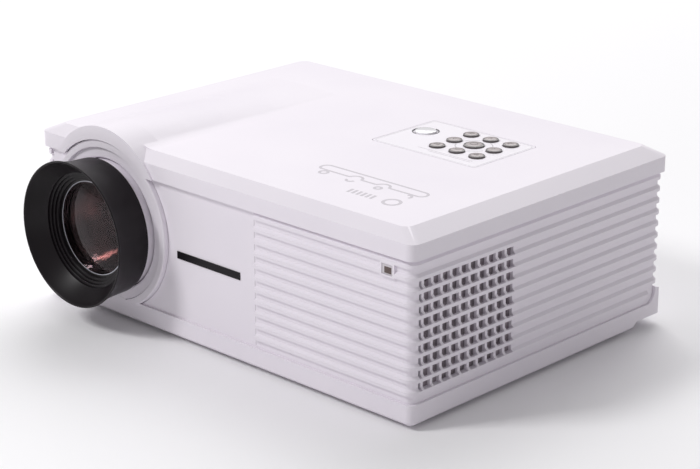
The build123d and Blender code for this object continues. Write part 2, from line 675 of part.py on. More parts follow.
def lens_barrel():
    seat_y = BARREL_FRONT_Y + 6.3
    front = BARREL_FRONT_Y
    return turned([
        (GLASS_R + 0.2, front), (BARREL_R, front), (BARREL_R, GLIDE_Y - GAP), (GROOVE_R, GLIDE_Y - GAP),
        (GROOVE_R, GLIDE_Y + GLIDE_W + GAP), (BARREL_R, GLIDE_Y + GLIDE_W + GAP), (BARREL_R, BARREL_BACK_Y),
        (BARREL_BORE_R, BARREL_BACK_Y), (BARREL_BORE_R, seat_y + 2), (GLASS_R - 2.5, seat_y + 2),
        (GLASS_R - 2.5, seat_y), (GLASS_R + 0.2, seat_y),
    ])


def front_glass():
    edge_y = BARREL_FRONT_Y + 0.3
    back_y = edge_y + GLASS_EDGE
    outline = [
        Line((0, edge_y - GLASS_RISE), (0, back_y)),
        Line((0, back_y), (GLASS_R, back_y)),
        Line((GLASS_R, back_y), (GLASS_R, edge_y)),
        TangentArc((0, edge_y - GLASS_RISE), (GLASS_R, edge_y), tangent=(1, 0)),
    ]
    return Pos(LENS_X, 0, LENS_Z) * revolve(make_face(outline), Axis.Y)


def rear_glass():
    radius = BARREL_BORE_R - 0.2
    front_y = BARREL_BACK_Y - REAR_GLASS_T
    outline = [
        Line((0, front_y), (0, BARREL_BACK_Y)),
        TangentArc((0, BARREL_BACK_Y), (radius, BARREL_BACK_Y - 3), tangent=(1, 0)),
        Line((radius, BARREL_BACK_Y - 3), (radius, front_y + 3)),
        TangentArc((0, front_y), (radius, front_y + 3), tangent=(1, 0)),
    ]
    return Pos(LENS_X, 0, LENS_Z) * revolve(make_face(outline), Axis.Y)


def glide_ring():
    ring = turned([
        (GROOVE_R + GAP, GLIDE_Y), (MOUNT_BORE_R - GAP, GLIDE_Y),
        (MOUNT_BORE_R - GAP, GLIDE_Y + GLIDE_W), (GROOVE_R + GAP, GLIDE_Y + GLIDE_W),
    ])
    half = GLIDE_KEY_W / 2
    inside = LENS_Z + MOUNT_BORE_R - 1.5
    outside = LENS_Z + MOUNT_BORE_R + MOUNT_WALL - 0.5
    key_block = block(LENS_X - half, LENS_X + half, GLIDE_Y, GLIDE_Y + GLIDE_W, inside, outside)
    return ring + key_block


def lens_mount():
    """Tube that carries the barrel, with the flange that closes the light tunnel."""
    front = -INNER_Y + SEAT_T
    back = TUNNEL_FRONT_Y - 2
    outer = MOUNT_BORE_R + MOUNT_WALL
    tube = turned([(MOUNT_BORE_R, front), (outer, front), (outer, back), (MOUNT_BORE_R, back)])
    flange = block(TUNNEL_X0, TUNNEL_X1, TUNNEL_FRONT_Y - 3, TUNNEL_FRONT_Y, TUNNEL_BOTTOM, TUNNEL_TOP)
    flange -= rod_y(MOUNT_BORE_R, LENS_X, TUNNEL_FRONT_Y - 4, TUNNEL_FRONT_Y + 1, LENS_Z)
    half = GLIDE_KEY_W / 2 + 0.4
    key_way = block(LENS_X - half, LENS_X + half, GLIDE_Y - FOCUS_TRAVEL - 0.8, GLIDE_Y + GLIDE_W + 0.8,
                    LENS_Z + MOUNT_BORE_R - 3, LENS_Z + outer + 1)
    return tube + flange - key_way


# ---------------------------------------------------------------- light path
def light_tunnel():
    shell = block(TUNNEL_X0, TUNNEL_X1, TUNNEL_FRONT_Y, TUNNEL_BACK_Y, TUNNEL_BOTTOM, TUNNEL_TOP)
    wall = TUNNEL_WALL
    shell -= block(TUNNEL_X0 + wall, TUNNEL_X1 - wall, TUNNEL_FRONT_Y - 1, TUNNEL_BACK_Y - wall,
                   TUNNEL_BOTTOM + wall, TUNNEL_TOP - wall)
    return shell - rod_y(CONDENSER_R - 2, LENS_X, TUNNEL_BACK_Y - 3, TUNNEL_BACK_Y + 1, LENS_Z)


def tunnel_plate(y, thickness):
    """Plate that fills the tunnel's section."""
    inset = TUNNEL_WALL + 0.2
    half = TUNNEL_W / 2 - inset
    return block(LENS_X - half, LENS_X + half, y, y + thickness, TUNNEL_BOTTOM + inset, TUNNEL_TOP - inset)


def lcd_panel():
    y = TUNNEL_FRONT_Y + 0.65 * TUNNEL_LENGTH
    wide = PICTURE_W / 2
    high = PICTURE_H / 2
    picture = block(LENS_X - wide, LENS_X + wide, y - 1, y + PICTURE_SINK, LENS_Z - high, LENS_Z + high)
    return tunnel_plate(y, PLATE_T) - picture


def field_lenses():
    places = [TUNNEL_FRONT_Y + share * TUNNEL_LENGTH for share in (0.56, 0.77)]
    return Part() + [tunnel_plate(y, FIELD_T) for y in places]


def condenser_lens():
    flat = TUNNEL_BACK_Y
    outline = [
        Line((0, flat), (0, flat + CONDENSER_T)),
        TangentArc((0, flat + CONDENSER_T), (CONDENSER_R, flat + 2), tangent=(1, 0)),
        Line((CONDENSER_R, flat + 2), (CONDENSER_R, flat)),
        Line((CONDENSER_R, flat), (0, flat)),
    ]
    return Pos(LENS_X, 0, LENS_Z) * revolve(make_face(outline), Axis.Y)


def lamp_module():
    back = SINK_FRONT_Y
    half = LED_SIZE / 2
    plate = block(LENS_X - half, LENS_X + half, back - 3, back, LENS_Z - half, LENS_Z + half)
    return plate + rod_y(12.0, LENS_X, back - 4.2, back - 3, LENS_Z)


def heat_sink():
    front = SINK_FRONT_Y
    x0 = LENS_X - SINK_W / 2
    sink = block(x0, x0 + SINK_W, front, front + 5, SINK_BOTTOM, SINK_BOTTOM + SINK_H)
    step = (SINK_W - 2.0) / (SINK_FINS - 1)
    fins = []
    for k in range(SINK_FINS):
        x = x0 + k * step
        fins.append(block(x, x + 2.0, front + 4, SINK_BACK_Y, SINK_BOTTOM, SINK_BOTTOM + SINK_H))
    return sink.fuse(*fins)


# ---------------------------------------------------------------- disc drive
def drive_chassis():
    sheet = DRIVE_SHEET
    back = DRIVE_Y1
    pan = block(DRIVE_X0, DRIVE_X1, DRIVE_Y0, back, DRIVE_BOTTOM, COVER_Z)
    floor = DRIVE_BOTTOM + sheet
    pan -= block(DRIVE_X0 + sheet, DRIVE_X1 - sheet, DRIVE_Y0 + sheet, back + 1, floor, COVER_Z + 1)
    rail_top = TRAY_Z - RAIL_TOP_GAP
    for x0, x1 in ((DRIVE_X0 + sheet, DRIVE_X0 + 14), (DRIVE_X1 - 14, DRIVE_X1 - sheet)):
        pan += block(x0 - 0.5, x1 + 0.5, DRIVE_Y0 + 1, back, rail_top - 3, rail_top)
    for x in (DISC_X - ROD_X, DISC_X + ROD_X):
        for y in (DRIVE_Y0 + 1.0, ROD_Y1):
            pan += block(x - 3, x + 3, y, y + 3, DRIVE_BOTTOM + 1, ROD_Z + 3)
    gear_x = RACK_X + 5.0 + GEAR_R
    return pan + rod(3.0, gear_x, GEAR_Y, DRIVE_BOTTOM + 1, TRAY_Z - RACK_H - GAP) + rod(
        1.5, gear_x, GEAR_Y, DRIVE_BOTTOM + 1, TRAY_Z - GAP)


def drive_cover():
    plate = block(DRIVE_X0, DRIVE_X1, DRIVE_Y0, DRIVE_Y1, COVER_Z, COVER_Z + COVER_T)
    plate -= rod(PUCK_NECK_R + 0.8, DISC_X, DISC_Y, COVER_Z - 1, COVER_Z + COVER_T + 1)
    for x in (DISC_X - 38, DISC_X + 38):
        for y in (DISC_Y - 44, DISC_Y + 30):
            plate -= block(x - 18, x + 18, y - 6, y + 6, COVER_Z - 1, COVER_Z + COVER_T + 1)
    return plate


def disc_tray():
    """Tray with its two disc wells, the slot for hub and pick-up, and its rack."""
    x0 = DISC_X - TRAY_W / 2
    x1 = DISC_X + TRAY_W / 2
    top = TRAY_Z + TRAY_T
    tray = block(x0, x1, TRAY_Y0, INNER_Y - 0.5, TRAY_Z, top)
    tray -= rod(DISC_R + DISC_CLEAR, DISC_X, DISC_Y, top - DISC_WELL, top + 1)
    tray -= rod(SMALL_WELL_R, DISC_X, DISC_Y, top - DISC_WELL - SMALL_WELL, top)
    tray -= rod(SLOT_HALF, DISC_X, DISC_Y, TRAY_Z - 1, top)
    tray -= block(DISC_X - SLOT_HALF, DISC_X + SLOT_HALF, TRAY_Y0 - 1, DISC_Y, TRAY_Z - 1, top + 1)
    for x in (x0, x1):
        tray -= rod(14.0, x, DISC_Y + 6, top - DISC_WELL, top + 1)
    return tray + rack()


def rack():
    """Straight teeth along the underside of the tray, meshing with the pinion."""
    y0 = TRAY_Y0 + 1.0
    y1 = GEAR_Y + 12.0
    pitch_x = RACK_X + 5.0
    tip = pitch_x + GEAR_MODULE
    root = pitch_x - 1.25 * GEAR_MODULE
    bar = block(RACK_X, root + 0.2, y0, y1, TRAY_Z - RACK_H, TRAY_Z + 0.5)
    first = int((GEAR_Y - y0) / GEAR_STEP)
    last = int((y1 - GEAR_Y) / GEAR_STEP)
    points = [(root, GEAR_Y - (first + 0.5) * GEAR_STEP)]
    for k in range(-first, last):
        middle = GEAR_Y + (k + 0.5) * GEAR_STEP
        points += [(root, middle - 0.36 * GEAR_STEP), (tip, middle - 0.11 * GEAR_STEP),
                   (tip, middle + 0.11 * GEAR_STEP), (root, middle + 0.36 * GEAR_STEP)]
    points.append((root, GEAR_Y + (last + 0.5) * GEAR_STEP))
    points += [(root - 0.5, points[-1][1]), (root - 0.5, points[0][1])]
    face = make_face(Polyline(*[(x, y, TRAY_Z - RACK_H) for x, y in points], close=True))
    return bar + extrude(face, RACK_H + 0.5, dir=(0, 0, 1))


def tray_pinion():
    tip = GEAR_R + GEAR_MODULE - 0.1
    root = GEAR_R - 1.25 * GEAR_MODULE
    points = []
    for k in range(GEAR_TEETH):
        middle = 180.0 + k * 360.0 / GEAR_TEETH
        for radius, offset in ((root, -0.29), (tip, -0.10), (tip, 0.10), (root, 0.29)):
            angle = radians(middle + offset * 360.0 / GEAR_TEETH)
            points.append((radius * cos(angle), radius * sin(angle)))
    gear_x = RACK_X + 5.0 + GEAR_R
    wheel = extrude(make_face(Polyline(*points, close=True)), RACK_H - 2 * GAP)
    wheel -= Cylinder(1.8, 20)
    return Pos(gear_x, GEAR_Y, TRAY_Z - RACK_H) * wheel


def tray_fascia():
    x0 = DISC_X - FASCIA_W / 2
    x1 = DISC_X + FASCIA_W / 2
    front = INNER_Y - 0.5
    plate = rounded_block(x0, x1, front, front + FASCIA_T, FASCIA_Z, FASCIA_Z + FASCIA_H, 1.8)
    back = front + FASCIA_T
    groove = block(x0 + 6, x1 - 6, back - 0.5, back + 1, FASCIA_Z + 4.2, FASCIA_Z + 5.0)
    return plate - groove


def spindle_motor():
    low = DRIVE_BOTTOM + DRIVE_SHEET
    top = low + 9
    section = [(0, low), (MOTOR_R, low), (MOTOR_R, top), (4.0, top), (4.0, top + 2), (0, top + 2)]
    return turned_up(section, DISC_X, DISC_Y)


def spindle_hub():
    low = DRIVE_BOTTOM + DRIVE_SHEET + 11 + GAP
    seat = TRAY_Z + 3.2
    return turned_up([
        (0, low), (4.5, low), (4.5, seat - 2), (HUB_R, seat - 2), (HUB_R, seat), (7.4, seat),
        (7.2, HUB_TOP), (6.2, HUB_TOP + 0.8), (0, HUB_TOP + 0.8),
    ], DISC_X, DISC_Y)


def clamp_puck():
    top = COVER_Z + COVER_T
    return turned_up([
        (0, TRAY_Z + TRAY_T + 2.2), (PUCK_R, TRAY_Z + TRAY_T + 2.2), (PUCK_R, COVER_Z - 1.4),
        (PUCK_NECK_R, COVER_Z - 1.4), (PUCK_NECK_R, top + GAP), (PUCK_R, top + GAP), (PUCK_R, top + 1.5), (0, top + 1.5),
    ], DISC_X, DISC_Y)


def laser_sled():
    y1 = DISC_Y - MOTOR_R - 2.0
    half = SLED_W / 2 + 2
    sled = block(DISC_X - half, DISC_X + half, y1 - SLED_L, y1, ROD_Z - 3, ROD_Z + 5)
    sled += block(DISC_X - 10, DISC_X + 10, y1 - 20, y1 - 3, ROD_Z + 4, TRAY_Z - 0.8)
    sled += rod(4.0, DISC_X, y1 - 11, TRAY_Z - 2, TRAY_Z + 0.6)
    for x in (DISC_X - ROD_X, DISC_X + ROD_X):
        sled -= rod_y(ROD_R + GAP, x, y1 - SLED_L - 1, y1 + 1, ROD_Z)
    return sled


def sled_rods():
    y0 = DRIVE_Y0 + 4.0
    y1 = ROD_Y1
    return Part() + [rod_y(ROD_R, x, y0, y1, ROD_Z) for x in (DISC_X - ROD_X, DISC_X + ROD_X)]


def eject_button():
    low = INNER_Y - 4.0
    cap = block(EJECT_X - EJECT_W / 2, EJECT_X + EJECT_W / 2, low, WALL_Y + 1.3,
                EJECT_Z - EJECT_H / 2, EJECT_Z + EJECT_H / 2)
    flange = block(EJECT_X - EJECT_W / 2 - 1.2, EJECT_X + EJECT_W / 2 + 1.2, INNER_Y - 2.0, INNER_Y - GAP,
                   EJECT_Z - EJECT_H / 2 - 1.0, EJECT_Z + EJECT_H / 2 + 1.0)
    return cap + flange


# ---------------------------------------------------------------- fan
def fan_frame():
    x1 = INNER_X - 0.2
    x0 = x1 - FAN_T
    half = FAN_SIZE / 2
    frame = block(x0, x1, FAN_Y - half, FAN_Y + half, FAN_Z - half, FAN_Z + half)
    frame -= rod_x(FAN_BORE_R, x0 - 1, x1 + 1, FAN_Y, FAN_Z)
    arms = block(x0, x0 + 2.5, FAN_Y - FAN_BORE_R - 1, FAN_Y + FAN_BORE_R + 1, FAN_Z - 2, FAN_Z + 2)
    arms += block(x0, x0 + 2.5, FAN_Y - 2, FAN_Y + 2, FAN_Z - FAN_BORE_R - 1, FAN_Z + FAN_BORE_R + 1)
    frame = frame + arms + rod_x(FAN_HUB_R, x0, x0 + 3, FAN_Y, FAN_Z)
    for y in (FAN_Y - half + 4.5, FAN_Y + half - 4.5):
        for z in (FAN_Z - half + 4.5, FAN_Z + half - 4.5):
            frame -= rod_x(2.2, x0 - 1, x1 + 1, y, z)
    return frame


def fan_rotor():
    x0 = INNER_X - 0.2 - FAN_T + 3 + GAP
    x1 = INNER_X - 2.0
    hub = rod_x(FAN_HUB_R, x0, x1, FAN_Y, FAN_Z)
    ring = rod_x(FAN_TIP_R, x0 + 1, x1 - 1, FAN_Y, FAN_Z)
    span = FAN_TIP_R + 2 - FAN_HUB_R + 3
    middle = FAN_HUB_R - 3 + span / 2
    blades = []
    for k in range(FAN_BLADES):
        blade = Rot(0, 0, 42) * Box(24.0, 1.6, span)
        blade = Pos((x0 + x1) / 2, FAN_Y, FAN_Z) * (Rot(360.0 * k / FAN_BLADES, 0, 0) * (Pos(0, 0, middle) * blade))
        blades.append(blade & ring)
    return hub.fuse(*blades)


# ---------------------------------------------------------------- boards
def board(x0, x1, y0, y1, parts):
    """Circuit board with its taller components, as (kind, share across, share deep, a, b, height)."""
    plate = block(x0, x1, y0, y1, BOARD_Z, BOARD_Z + BOARD_T)
    top = BOARD_Z + BOARD_T - 0.2
    for kind, across, deep, a, b, h in parts:
        x = x0 + across * (x1 - x0)
        y = y0 + deep * (y1 - y0)
        if kind == "can":
            plate += rod(a, x, y, top, top + h)
        else:
            plate += block(x, x + a, y, y + b, top, top + h)
    return plate


def main_board():
    return board(MAIN_X0, MAIN_X1, MAIN_Y0, MAIN_Y1, [
        ("chip", 0.34, 0.35, 26, 26, 3.0), ("chip", 0.66, 0.39, 14, 20, 2.4), ("chip", 0.14, 0.63, 14, 10, 2.4),
        ("sink", 0.36, 0.69, 22, 22, 12.0), ("can", 0.17, 0.24, 5, 0, 12.0), ("can", 0.29, 0.24, 5, 0, 12.0),
    ])


def power_board():
    return board(SUPPLY_X0, SUPPLY_X1, SUPPLY_Y0, SUPPLY_Y1, [
        ("core", 0.24, 0.21, 34, 30, 28.0), ("can", 0.6, 0.32, 11, 0, 32.0), ("can", 0.79, 0.25, 8, 0, 24.0),
        ("sink", 0.57, 0.71, 44, 6, 30.0), ("can", 0.1, 0.36, 6, 0, 18.0), ("can", 0.1, 0.68, 6, 0, 18.0),
    ])


# ---------------------------------------------------------------- back panel
def rear_panel():
    panel = rounded_block(PANEL_X0 + 0.2, PANEL_X1 - 0.2, INNER_Y, WALL_Y, PANEL_Z0 + 0.2, PANEL_Z1 - 0.2, PANEL_CORNER - 0.1)
    panel -= block(INLET_X - 14, INLET_X + 14, INNER_Y - 1, WALL_Y + 1, INLET_Z - 10.3, INLET_Z + 10.3)
    panel -= block(INLET_X - 9.8, INLET_X + 9.8, INNER_Y - 1, WALL_Y + 1, SWITCH_Z - 7, SWITCH_Z + 7)
    panel -= block(VGA_X - 9.2, VGA_X + 9.2, INNER_Y - 1, WALL_Y + 1, SOCKET_Z - 5.2, SOCKET_Z + 5.2)
    panel -= block(HDMI_X - 8.0, HDMI_X + 8.0, INNER_Y - 1, WALL_Y + 1, SOCKET_Z - 3.6, SOCKET_Z + 3.6)
    panel -= block(USB_X - 7.4, USB_X + 7.4, INNER_Y - 1, WALL_Y + 1, SOCKET_Z2 - 4.2, SOCKET_Z2 + 4.2)
    for x, z, radius in jack_places():
        panel -= rod_y(radius + 0.2, x, INNER_Y - 1, WALL_Y + 1, z)
    return panel.cut(*speaker_slots())


def jack_places():
    """Centre and outer radius of the round sockets."""
    upper = [(JACK_X + k * JACK_PITCH, SOCKET_Z2, 4.4) for k in range(3)]
    return upper + [(JACK_X, SOCKET_Z, 3.6), (JACK_X + JACK_PITCH, SOCKET_Z, 3.6)]


def av_jacks():
    jacks = []
    for x, z, radius in jack_places():
        inner = 1.8 if radius < 4 else 2.9
        jacks.append(rod_y(radius, x, INNER_Y - 10, WALL_Y + 0.8, z) - rod_y(inner, x, INNER_Y - 6, WALL_Y + 2, z))
    return Part() + jacks


def ac_inlet():
    """Three-pin mains inlet."""
    body = block(INLET_X - 13.8, INLET_X + 13.8, INNER_Y - 18, WALL_Y + 1.5, INLET_Z - 10.1, INLET_Z + 10.1)
    body += rounded_block(INLET_X - 15.5, INLET_X + 15.5, WALL_Y, WALL_Y + 1.5, INLET_Z - 12, INLET_Z + 12, 2.0)
    body -= block(INLET_X - 12.0, INLET_X + 12.0, INNER_Y - 14, WALL_Y + 2, INLET_Z - 8.2, INLET_Z + 8.2)
    for dx, dz in ((-7.0, 1.5), (7.0, 1.5), (0.0, 4.4)):
        x = INLET_X + dx
        z = INLET_Z + dz
        body += block(x - 1.0, x + 1.0, INNER_Y - 15, WALL_Y - 3, z - 2.0, z + 2.0)
    return body


def switch_frame():
    body = block(INLET_X - 9.6, INLET_X + 9.6, INNER_Y - 12, WALL_Y + 1.0, SWITCH_Z - 6.8, SWITCH_Z + 6.8)
    body += block(INLET_X - 11.0, INLET_X + 11.0, WALL_Y, WALL_Y + 1.0, SWITCH_Z - 8.0, SWITCH_Z + 8.0)
    half = ROCKER_W / 2 + GAP
    return body - block(INLET_X - half, INLET_X + half, INNER_Y - 7, WALL_Y + 2, SWITCH_Z - 5.6, SWITCH_Z + 5.6)


def power_rocker():
    """Rocker stored switched off, with its two faces meeting at a shallow angle."""
    upper = [(2.6, 0.0), (3.6, 4.6), (0.6, 5.0), (-3.4, 3.0)]
    lower = [(y, -z) for y, z in upper[:0:-1]]
    rocker = prism_yz(upper + lower, INLET_X - ROCKER_W / 2, INLET_X + ROCKER_W / 2)
    return Pos(0, ROCKER_Y, SWITCH_Z) * (Rot(ROCKER_SWING / 2, 0, 0) * rocker)


def vga_socket():
    """Analogue video socket, hollow, with its insert set back inside the shell."""
    shell = rounded_block(VGA_X - 9.0, VGA_X + 9.0, INNER_Y - 8, WALL_Y + 1.0, SOCKET_Z - 5.0, SOCKET_Z + 5.0, 2.0)
    return shell - block(VGA_X - 8.0, VGA_X + 8.0, WALL_Y - 0.5, WALL_Y + 2, SOCKET_Z - 3.6, SOCKET_Z + 3.6)


def hdmi_socket():
    shell = block(HDMI_X - 7.8, HDMI_X + 7.8, INNER_Y - 9, WALL_Y + 0.8, SOCKET_Z - 3.4, SOCKET_Z + 3.4)
    shell -= block(HDMI_X - 7.0, HDMI_X + 7.0, INNER_Y - 6, WALL_Y + 2, SOCKET_Z - 2.6, SOCKET_Z + 2.6)
    return shell + block(HDMI_X - 5.6, HDMI_X + 5.6, INNER_Y - 7, WALL_Y - 1, SOCKET_Z - 0.5, SOCKET_Z + 0.7)


def usb_socket():
    shell = block(USB_X - 7.2, USB_X + 7.2, INNER_Y - 10, WALL_Y + 0.8, SOCKET_Z2 - 4.0, SOCKET_Z2 + 4.0)
    shell -= block(USB_X - 6.4, USB_X + 6.4, INNER_Y - 8, WALL_Y + 2, SOCKET_Z2 - 3.2, SOCKET_Z2 + 3.2)
    return shell + block(USB_X - 5.6, USB_X + 5.6, INNER_Y - 9, WALL_Y - 1, SOCKET_Z2 + 0.6, SOCKET_Z2 + 2.4)


def speaker():
    magnet = 0.55 * SPEAKER_R
    rim = 1.2 * SPEAKER_R
    back = INNER_Y - SPEAKER_DEPTH
    return turned([
        (0, back), (magnet, back), (magnet, back + 4), (SPEAKER_R, INNER_Y - 3), (rim, INNER_Y - 3),
        (rim, INNER_Y), (SPEAKER_R, INNER_Y), (magnet + 1, back + SPEAKER_DEPTH / 2), (0, back + SPEAKER_DEPTH / 2),
    ], SPEAKER_X, SPEAKER_Z)


# ---------------------------------------------------------------- output
def save(name, shape):
    """Write one node, moved so that the origin is under the middle of the outline."""
    export_step(Pos(0, FRAME_Y, 0) * shape, "parts/" + name + ".step")


KEY_NAMES = [
    "key_source", "key_down", "key_eject", "key_left", "key_ok", "key_right", "key_menu", "key_up", "key_play",
]

PIECES = {
    "top_cover": top_cover, "keypad_plate": keypad_plate, "keypad_board": keypad_board,
    "middle_frame": middle_frame, "lens_bezel": lens_bezel, "ir_window": ir_window, "name_strip": name_strip,
    "bottom_case": bottom_case, "rubber_feet": rubber_feet, "case_screws": case_screws,
    "leg_screw": leg_screw, "leg_pad": leg_pad,
    "lens_hood": lens_hood, "lens_barrel": lens_barrel, "front_glass": front_glass, "rear_glass": rear_glass,
    "glide_ring": glide_ring, "lens_mount": lens_mount,
    "light_tunnel": light_tunnel, "lcd_panel": lcd_panel, "field_lenses": field_lenses,
    "condenser_lens": condenser_lens, "lamp_module": lamp_module, "heat_sink": heat_sink,
    "drive_chassis": drive_chassis, "drive_cover": drive_cover, "disc_tray": disc_tray,
    "tray_pinion": tray_pinion, "tray_fascia": tray_fascia, "spindle_motor": spindle_motor,
    "spindle_hub": spindle_hub, "clamp_puck": clamp_puck, "laser_sled": laser_sled, "sled_rods": sled_rods,
    "eject_button": eject_button, "fan_frame": fan_frame, "fan_rotor": fan_rotor,
    "main_board": main_board, "power_board": power_board, "rear_panel": rear_panel,
    "ac_inlet": ac_inlet, "switch_frame": switch_frame, "power_rocker": power_rocker,
    "vga_socket": vga_socket, "hdmi_socket": hdmi_socket, "usb_socket": usb_socket,
    "av_jacks": av_jacks, "speaker": speaker,
}

os.makedirs("parts", exist_ok=True)
for piece_name, make in PIECES.items():
    save(piece_name, make())
for piece_name, (key_x, key_y, key_radius) in zip(KEY_NAMES, key_places()):
    save(piece_name, key(key_x, key_y, key_radius, KEY_RISE))
save("power_button", key(POWER_X, POWER_Y, POWER_R, KEY_RISE - 0.4))
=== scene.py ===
"""Looks of a white desktop video projector with a built-in disc player.

Sizes are in millimetres about the middle of the case, as a designer would draw them. FRAME_Y
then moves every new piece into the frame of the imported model, which is in metres.
"""

import logging
from collections.abc import Callable, Iterable, Sequence
from dataclasses import dataclass
from enum import Enum
from functools import cache
from math import atan2, cos, pi, radians, sin, sqrt, tau

import bmesh
import bpy
from bpy.types import ID, Material, Mesh, Node, NodeTree, Object
from mathutils import Matrix, Vector


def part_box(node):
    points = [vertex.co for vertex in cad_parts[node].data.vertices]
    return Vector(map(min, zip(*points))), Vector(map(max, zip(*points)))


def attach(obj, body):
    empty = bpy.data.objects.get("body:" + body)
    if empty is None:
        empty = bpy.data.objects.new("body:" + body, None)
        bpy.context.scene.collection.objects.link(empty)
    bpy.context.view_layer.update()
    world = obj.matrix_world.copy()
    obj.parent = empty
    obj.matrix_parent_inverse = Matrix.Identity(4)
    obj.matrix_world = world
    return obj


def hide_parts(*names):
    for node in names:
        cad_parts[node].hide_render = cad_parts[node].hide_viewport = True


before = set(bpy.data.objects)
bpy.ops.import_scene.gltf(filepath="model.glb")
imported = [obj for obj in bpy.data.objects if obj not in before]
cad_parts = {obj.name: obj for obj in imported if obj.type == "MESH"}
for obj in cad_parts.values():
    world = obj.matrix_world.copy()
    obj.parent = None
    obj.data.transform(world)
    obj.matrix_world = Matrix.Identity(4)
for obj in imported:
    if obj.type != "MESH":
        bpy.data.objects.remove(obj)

BMesh = bmesh.types.BMesh
BMVert = bmesh.types.BMVert
Colour = tuple[int, int, int]
Point = tuple[float, float, float]
Outline = tuple[tuple[float, float], ...]
Section = list[tuple[float, float]]
Stroke = tuple[Outline, bool]
Link = tuple[Node, str | int, Node, str | int]

log = logging.getLogger("projector")

MM = 0.001
CASE_DEPTH = 240.0          # lid, front to back
LID_TOP = 120.0             # flat top of the lid above the floor
BASE_UNDER = 3.0            # underside of the base above the floor
SHARPEST_MITRE = 0.4        # cosine past which the corner of a printed line widens no more
LENS_X = -100.0
LENS_Z = 64.3
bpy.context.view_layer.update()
FRAME_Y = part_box("top_cover")[1].y / MM - CASE_DEPTH / 2
INTO_ROW = Matrix.Scale(MM, 4) @ Matrix.Translation((0, FRAME_Y, 0))


# ---------------------------------------------------------------- frame and meshes
class Turn(Enum):
    """Axis of a turned piece, as its two radial directions and its own direction."""

    X = ((0, 1, 0), (0, 0, 1), (1, 0, 0))
    Y = ((1, 0, 0), (0, 0, 1), (0, 1, 0))
    Z = ((1, 0, 0), (0, 1, 0), (0, 0, 1))


def row(point: Sequence[float]) -> Vector:
    """A point of the designer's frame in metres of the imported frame."""
    return Vector((point[0], point[1] + FRAME_Y, point[2])) * MM


def closed(build: BMesh, name: str) -> Mesh:
    """Turn a mesh under construction into one with a name, and free the first."""
    mesh = bpy.data.meshes.new(name)
    build.to_mesh(mesh)
    build.free()
    return mesh


def finished(build: BMesh, name: str) -> Mesh:
    """Close a mesh under construction.

    Args:
        build: mesh in millimetres, which this call frees.
        name: name of the mesh.

    Returns:
        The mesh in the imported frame, with its faces outward.
    """
    bmesh.ops.remove_doubles(build, verts=build.verts, dist=1e-4)
    bmesh.ops.recalc_face_normals(build, faces=build.faces)
    bmesh.ops.transform(build, matrix=INTO_ROW, verts=build.verts)
    return closed(build, name)


def lathe_into(build: BMesh, section: Section, centre: Point, turn: Turn, steps: int) -> None:
    """Add a turned body to a mesh.

    Args:
        build: mesh in millimetres.
        section: closed section as (radius, distance along the axis).
        centre: a point on the axis, from which the distance counts.
        turn: direction of the axis.
        steps: facets in the full turn.
    """
    across, up, along = (Vector(v) for v in turn.value)
    origin = Vector(centre)
    rings = []
    for step in range(steps):
        angle = tau * step / steps
        out = across * cos(angle) + up * sin(angle)
        rings.append([build.verts.new(origin + out * radius + along * reach) for radius, reach in section])
    for one, two in zip(rings, rings[1:] + rings[:1]):
        for k, (radius, _) in enumerate(section):
            after = (k + 1) % len(section)
            if radius == 0 and section[after][0] == 0:
                continue
            corners = [one[k], one[after], two[after], two[k]]
            if radius == 0:
                corners.pop()
            elif section[after][0] == 0:
                corners.pop(2)
            build.faces.new(corners)


def lathe(name: str, section: Section, centre: Point, turn: Turn = Turn.Y, steps: int = 96) -> Mesh:
    """One turned body as a mesh, from the same values as lathe_into."""
    build = bmesh.new()
    lathe_into(build, section, centre, turn, steps)
    return finished(build, name)


def box_into(build: BMesh, low: Point, high: Point) -> None:
    """Add a box between two corners to a mesh."""
    size = [b - a for a, b in zip(low, high)]
    middle = [(a + b) / 2 for a, b in zip(low, high)]
    place = Matrix.Translation(middle) @ Matrix.Diagonal((*size, 1))
    bmesh.ops.create_cube(build, size=1, matrix=place)


def boxes(name: str, corners: Iterable[tuple[Point, Point]], soften: float = 0.0) -> Mesh:
    """Boxes as one mesh.

    Args:
        name: name of the mesh.
        corners: lowest and highest corner of each box.
        soften: width of the rounded edges.

    Returns:
        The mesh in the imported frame.
    """
    build = bmesh.new()
    for low, high in corners:
        box_into(build, low, high)
    if soften:
        bmesh.ops.bevel(build, geom=build.edges[:], offset=soften, segments=2, profile=0.6, affect="EDGES")
    return finished(build, name)


def prism_into(build: BMesh, outline: Outline, low: float, high: float) -> None:
    """Add an upright prism on a plain outline of (x, y) points to a mesh."""
    under = [build.verts.new((x, y, low)) for x, y in outline]
    over = [build.verts.new((x, y, high)) for x, y in outline]
    build.faces.new(under[::-1])
    build.faces.new(over)
    for k in range(len(outline)):
        after = (k + 1) % len(outline)
        build.faces.new([under[k], under[after], over[after], over[k]])


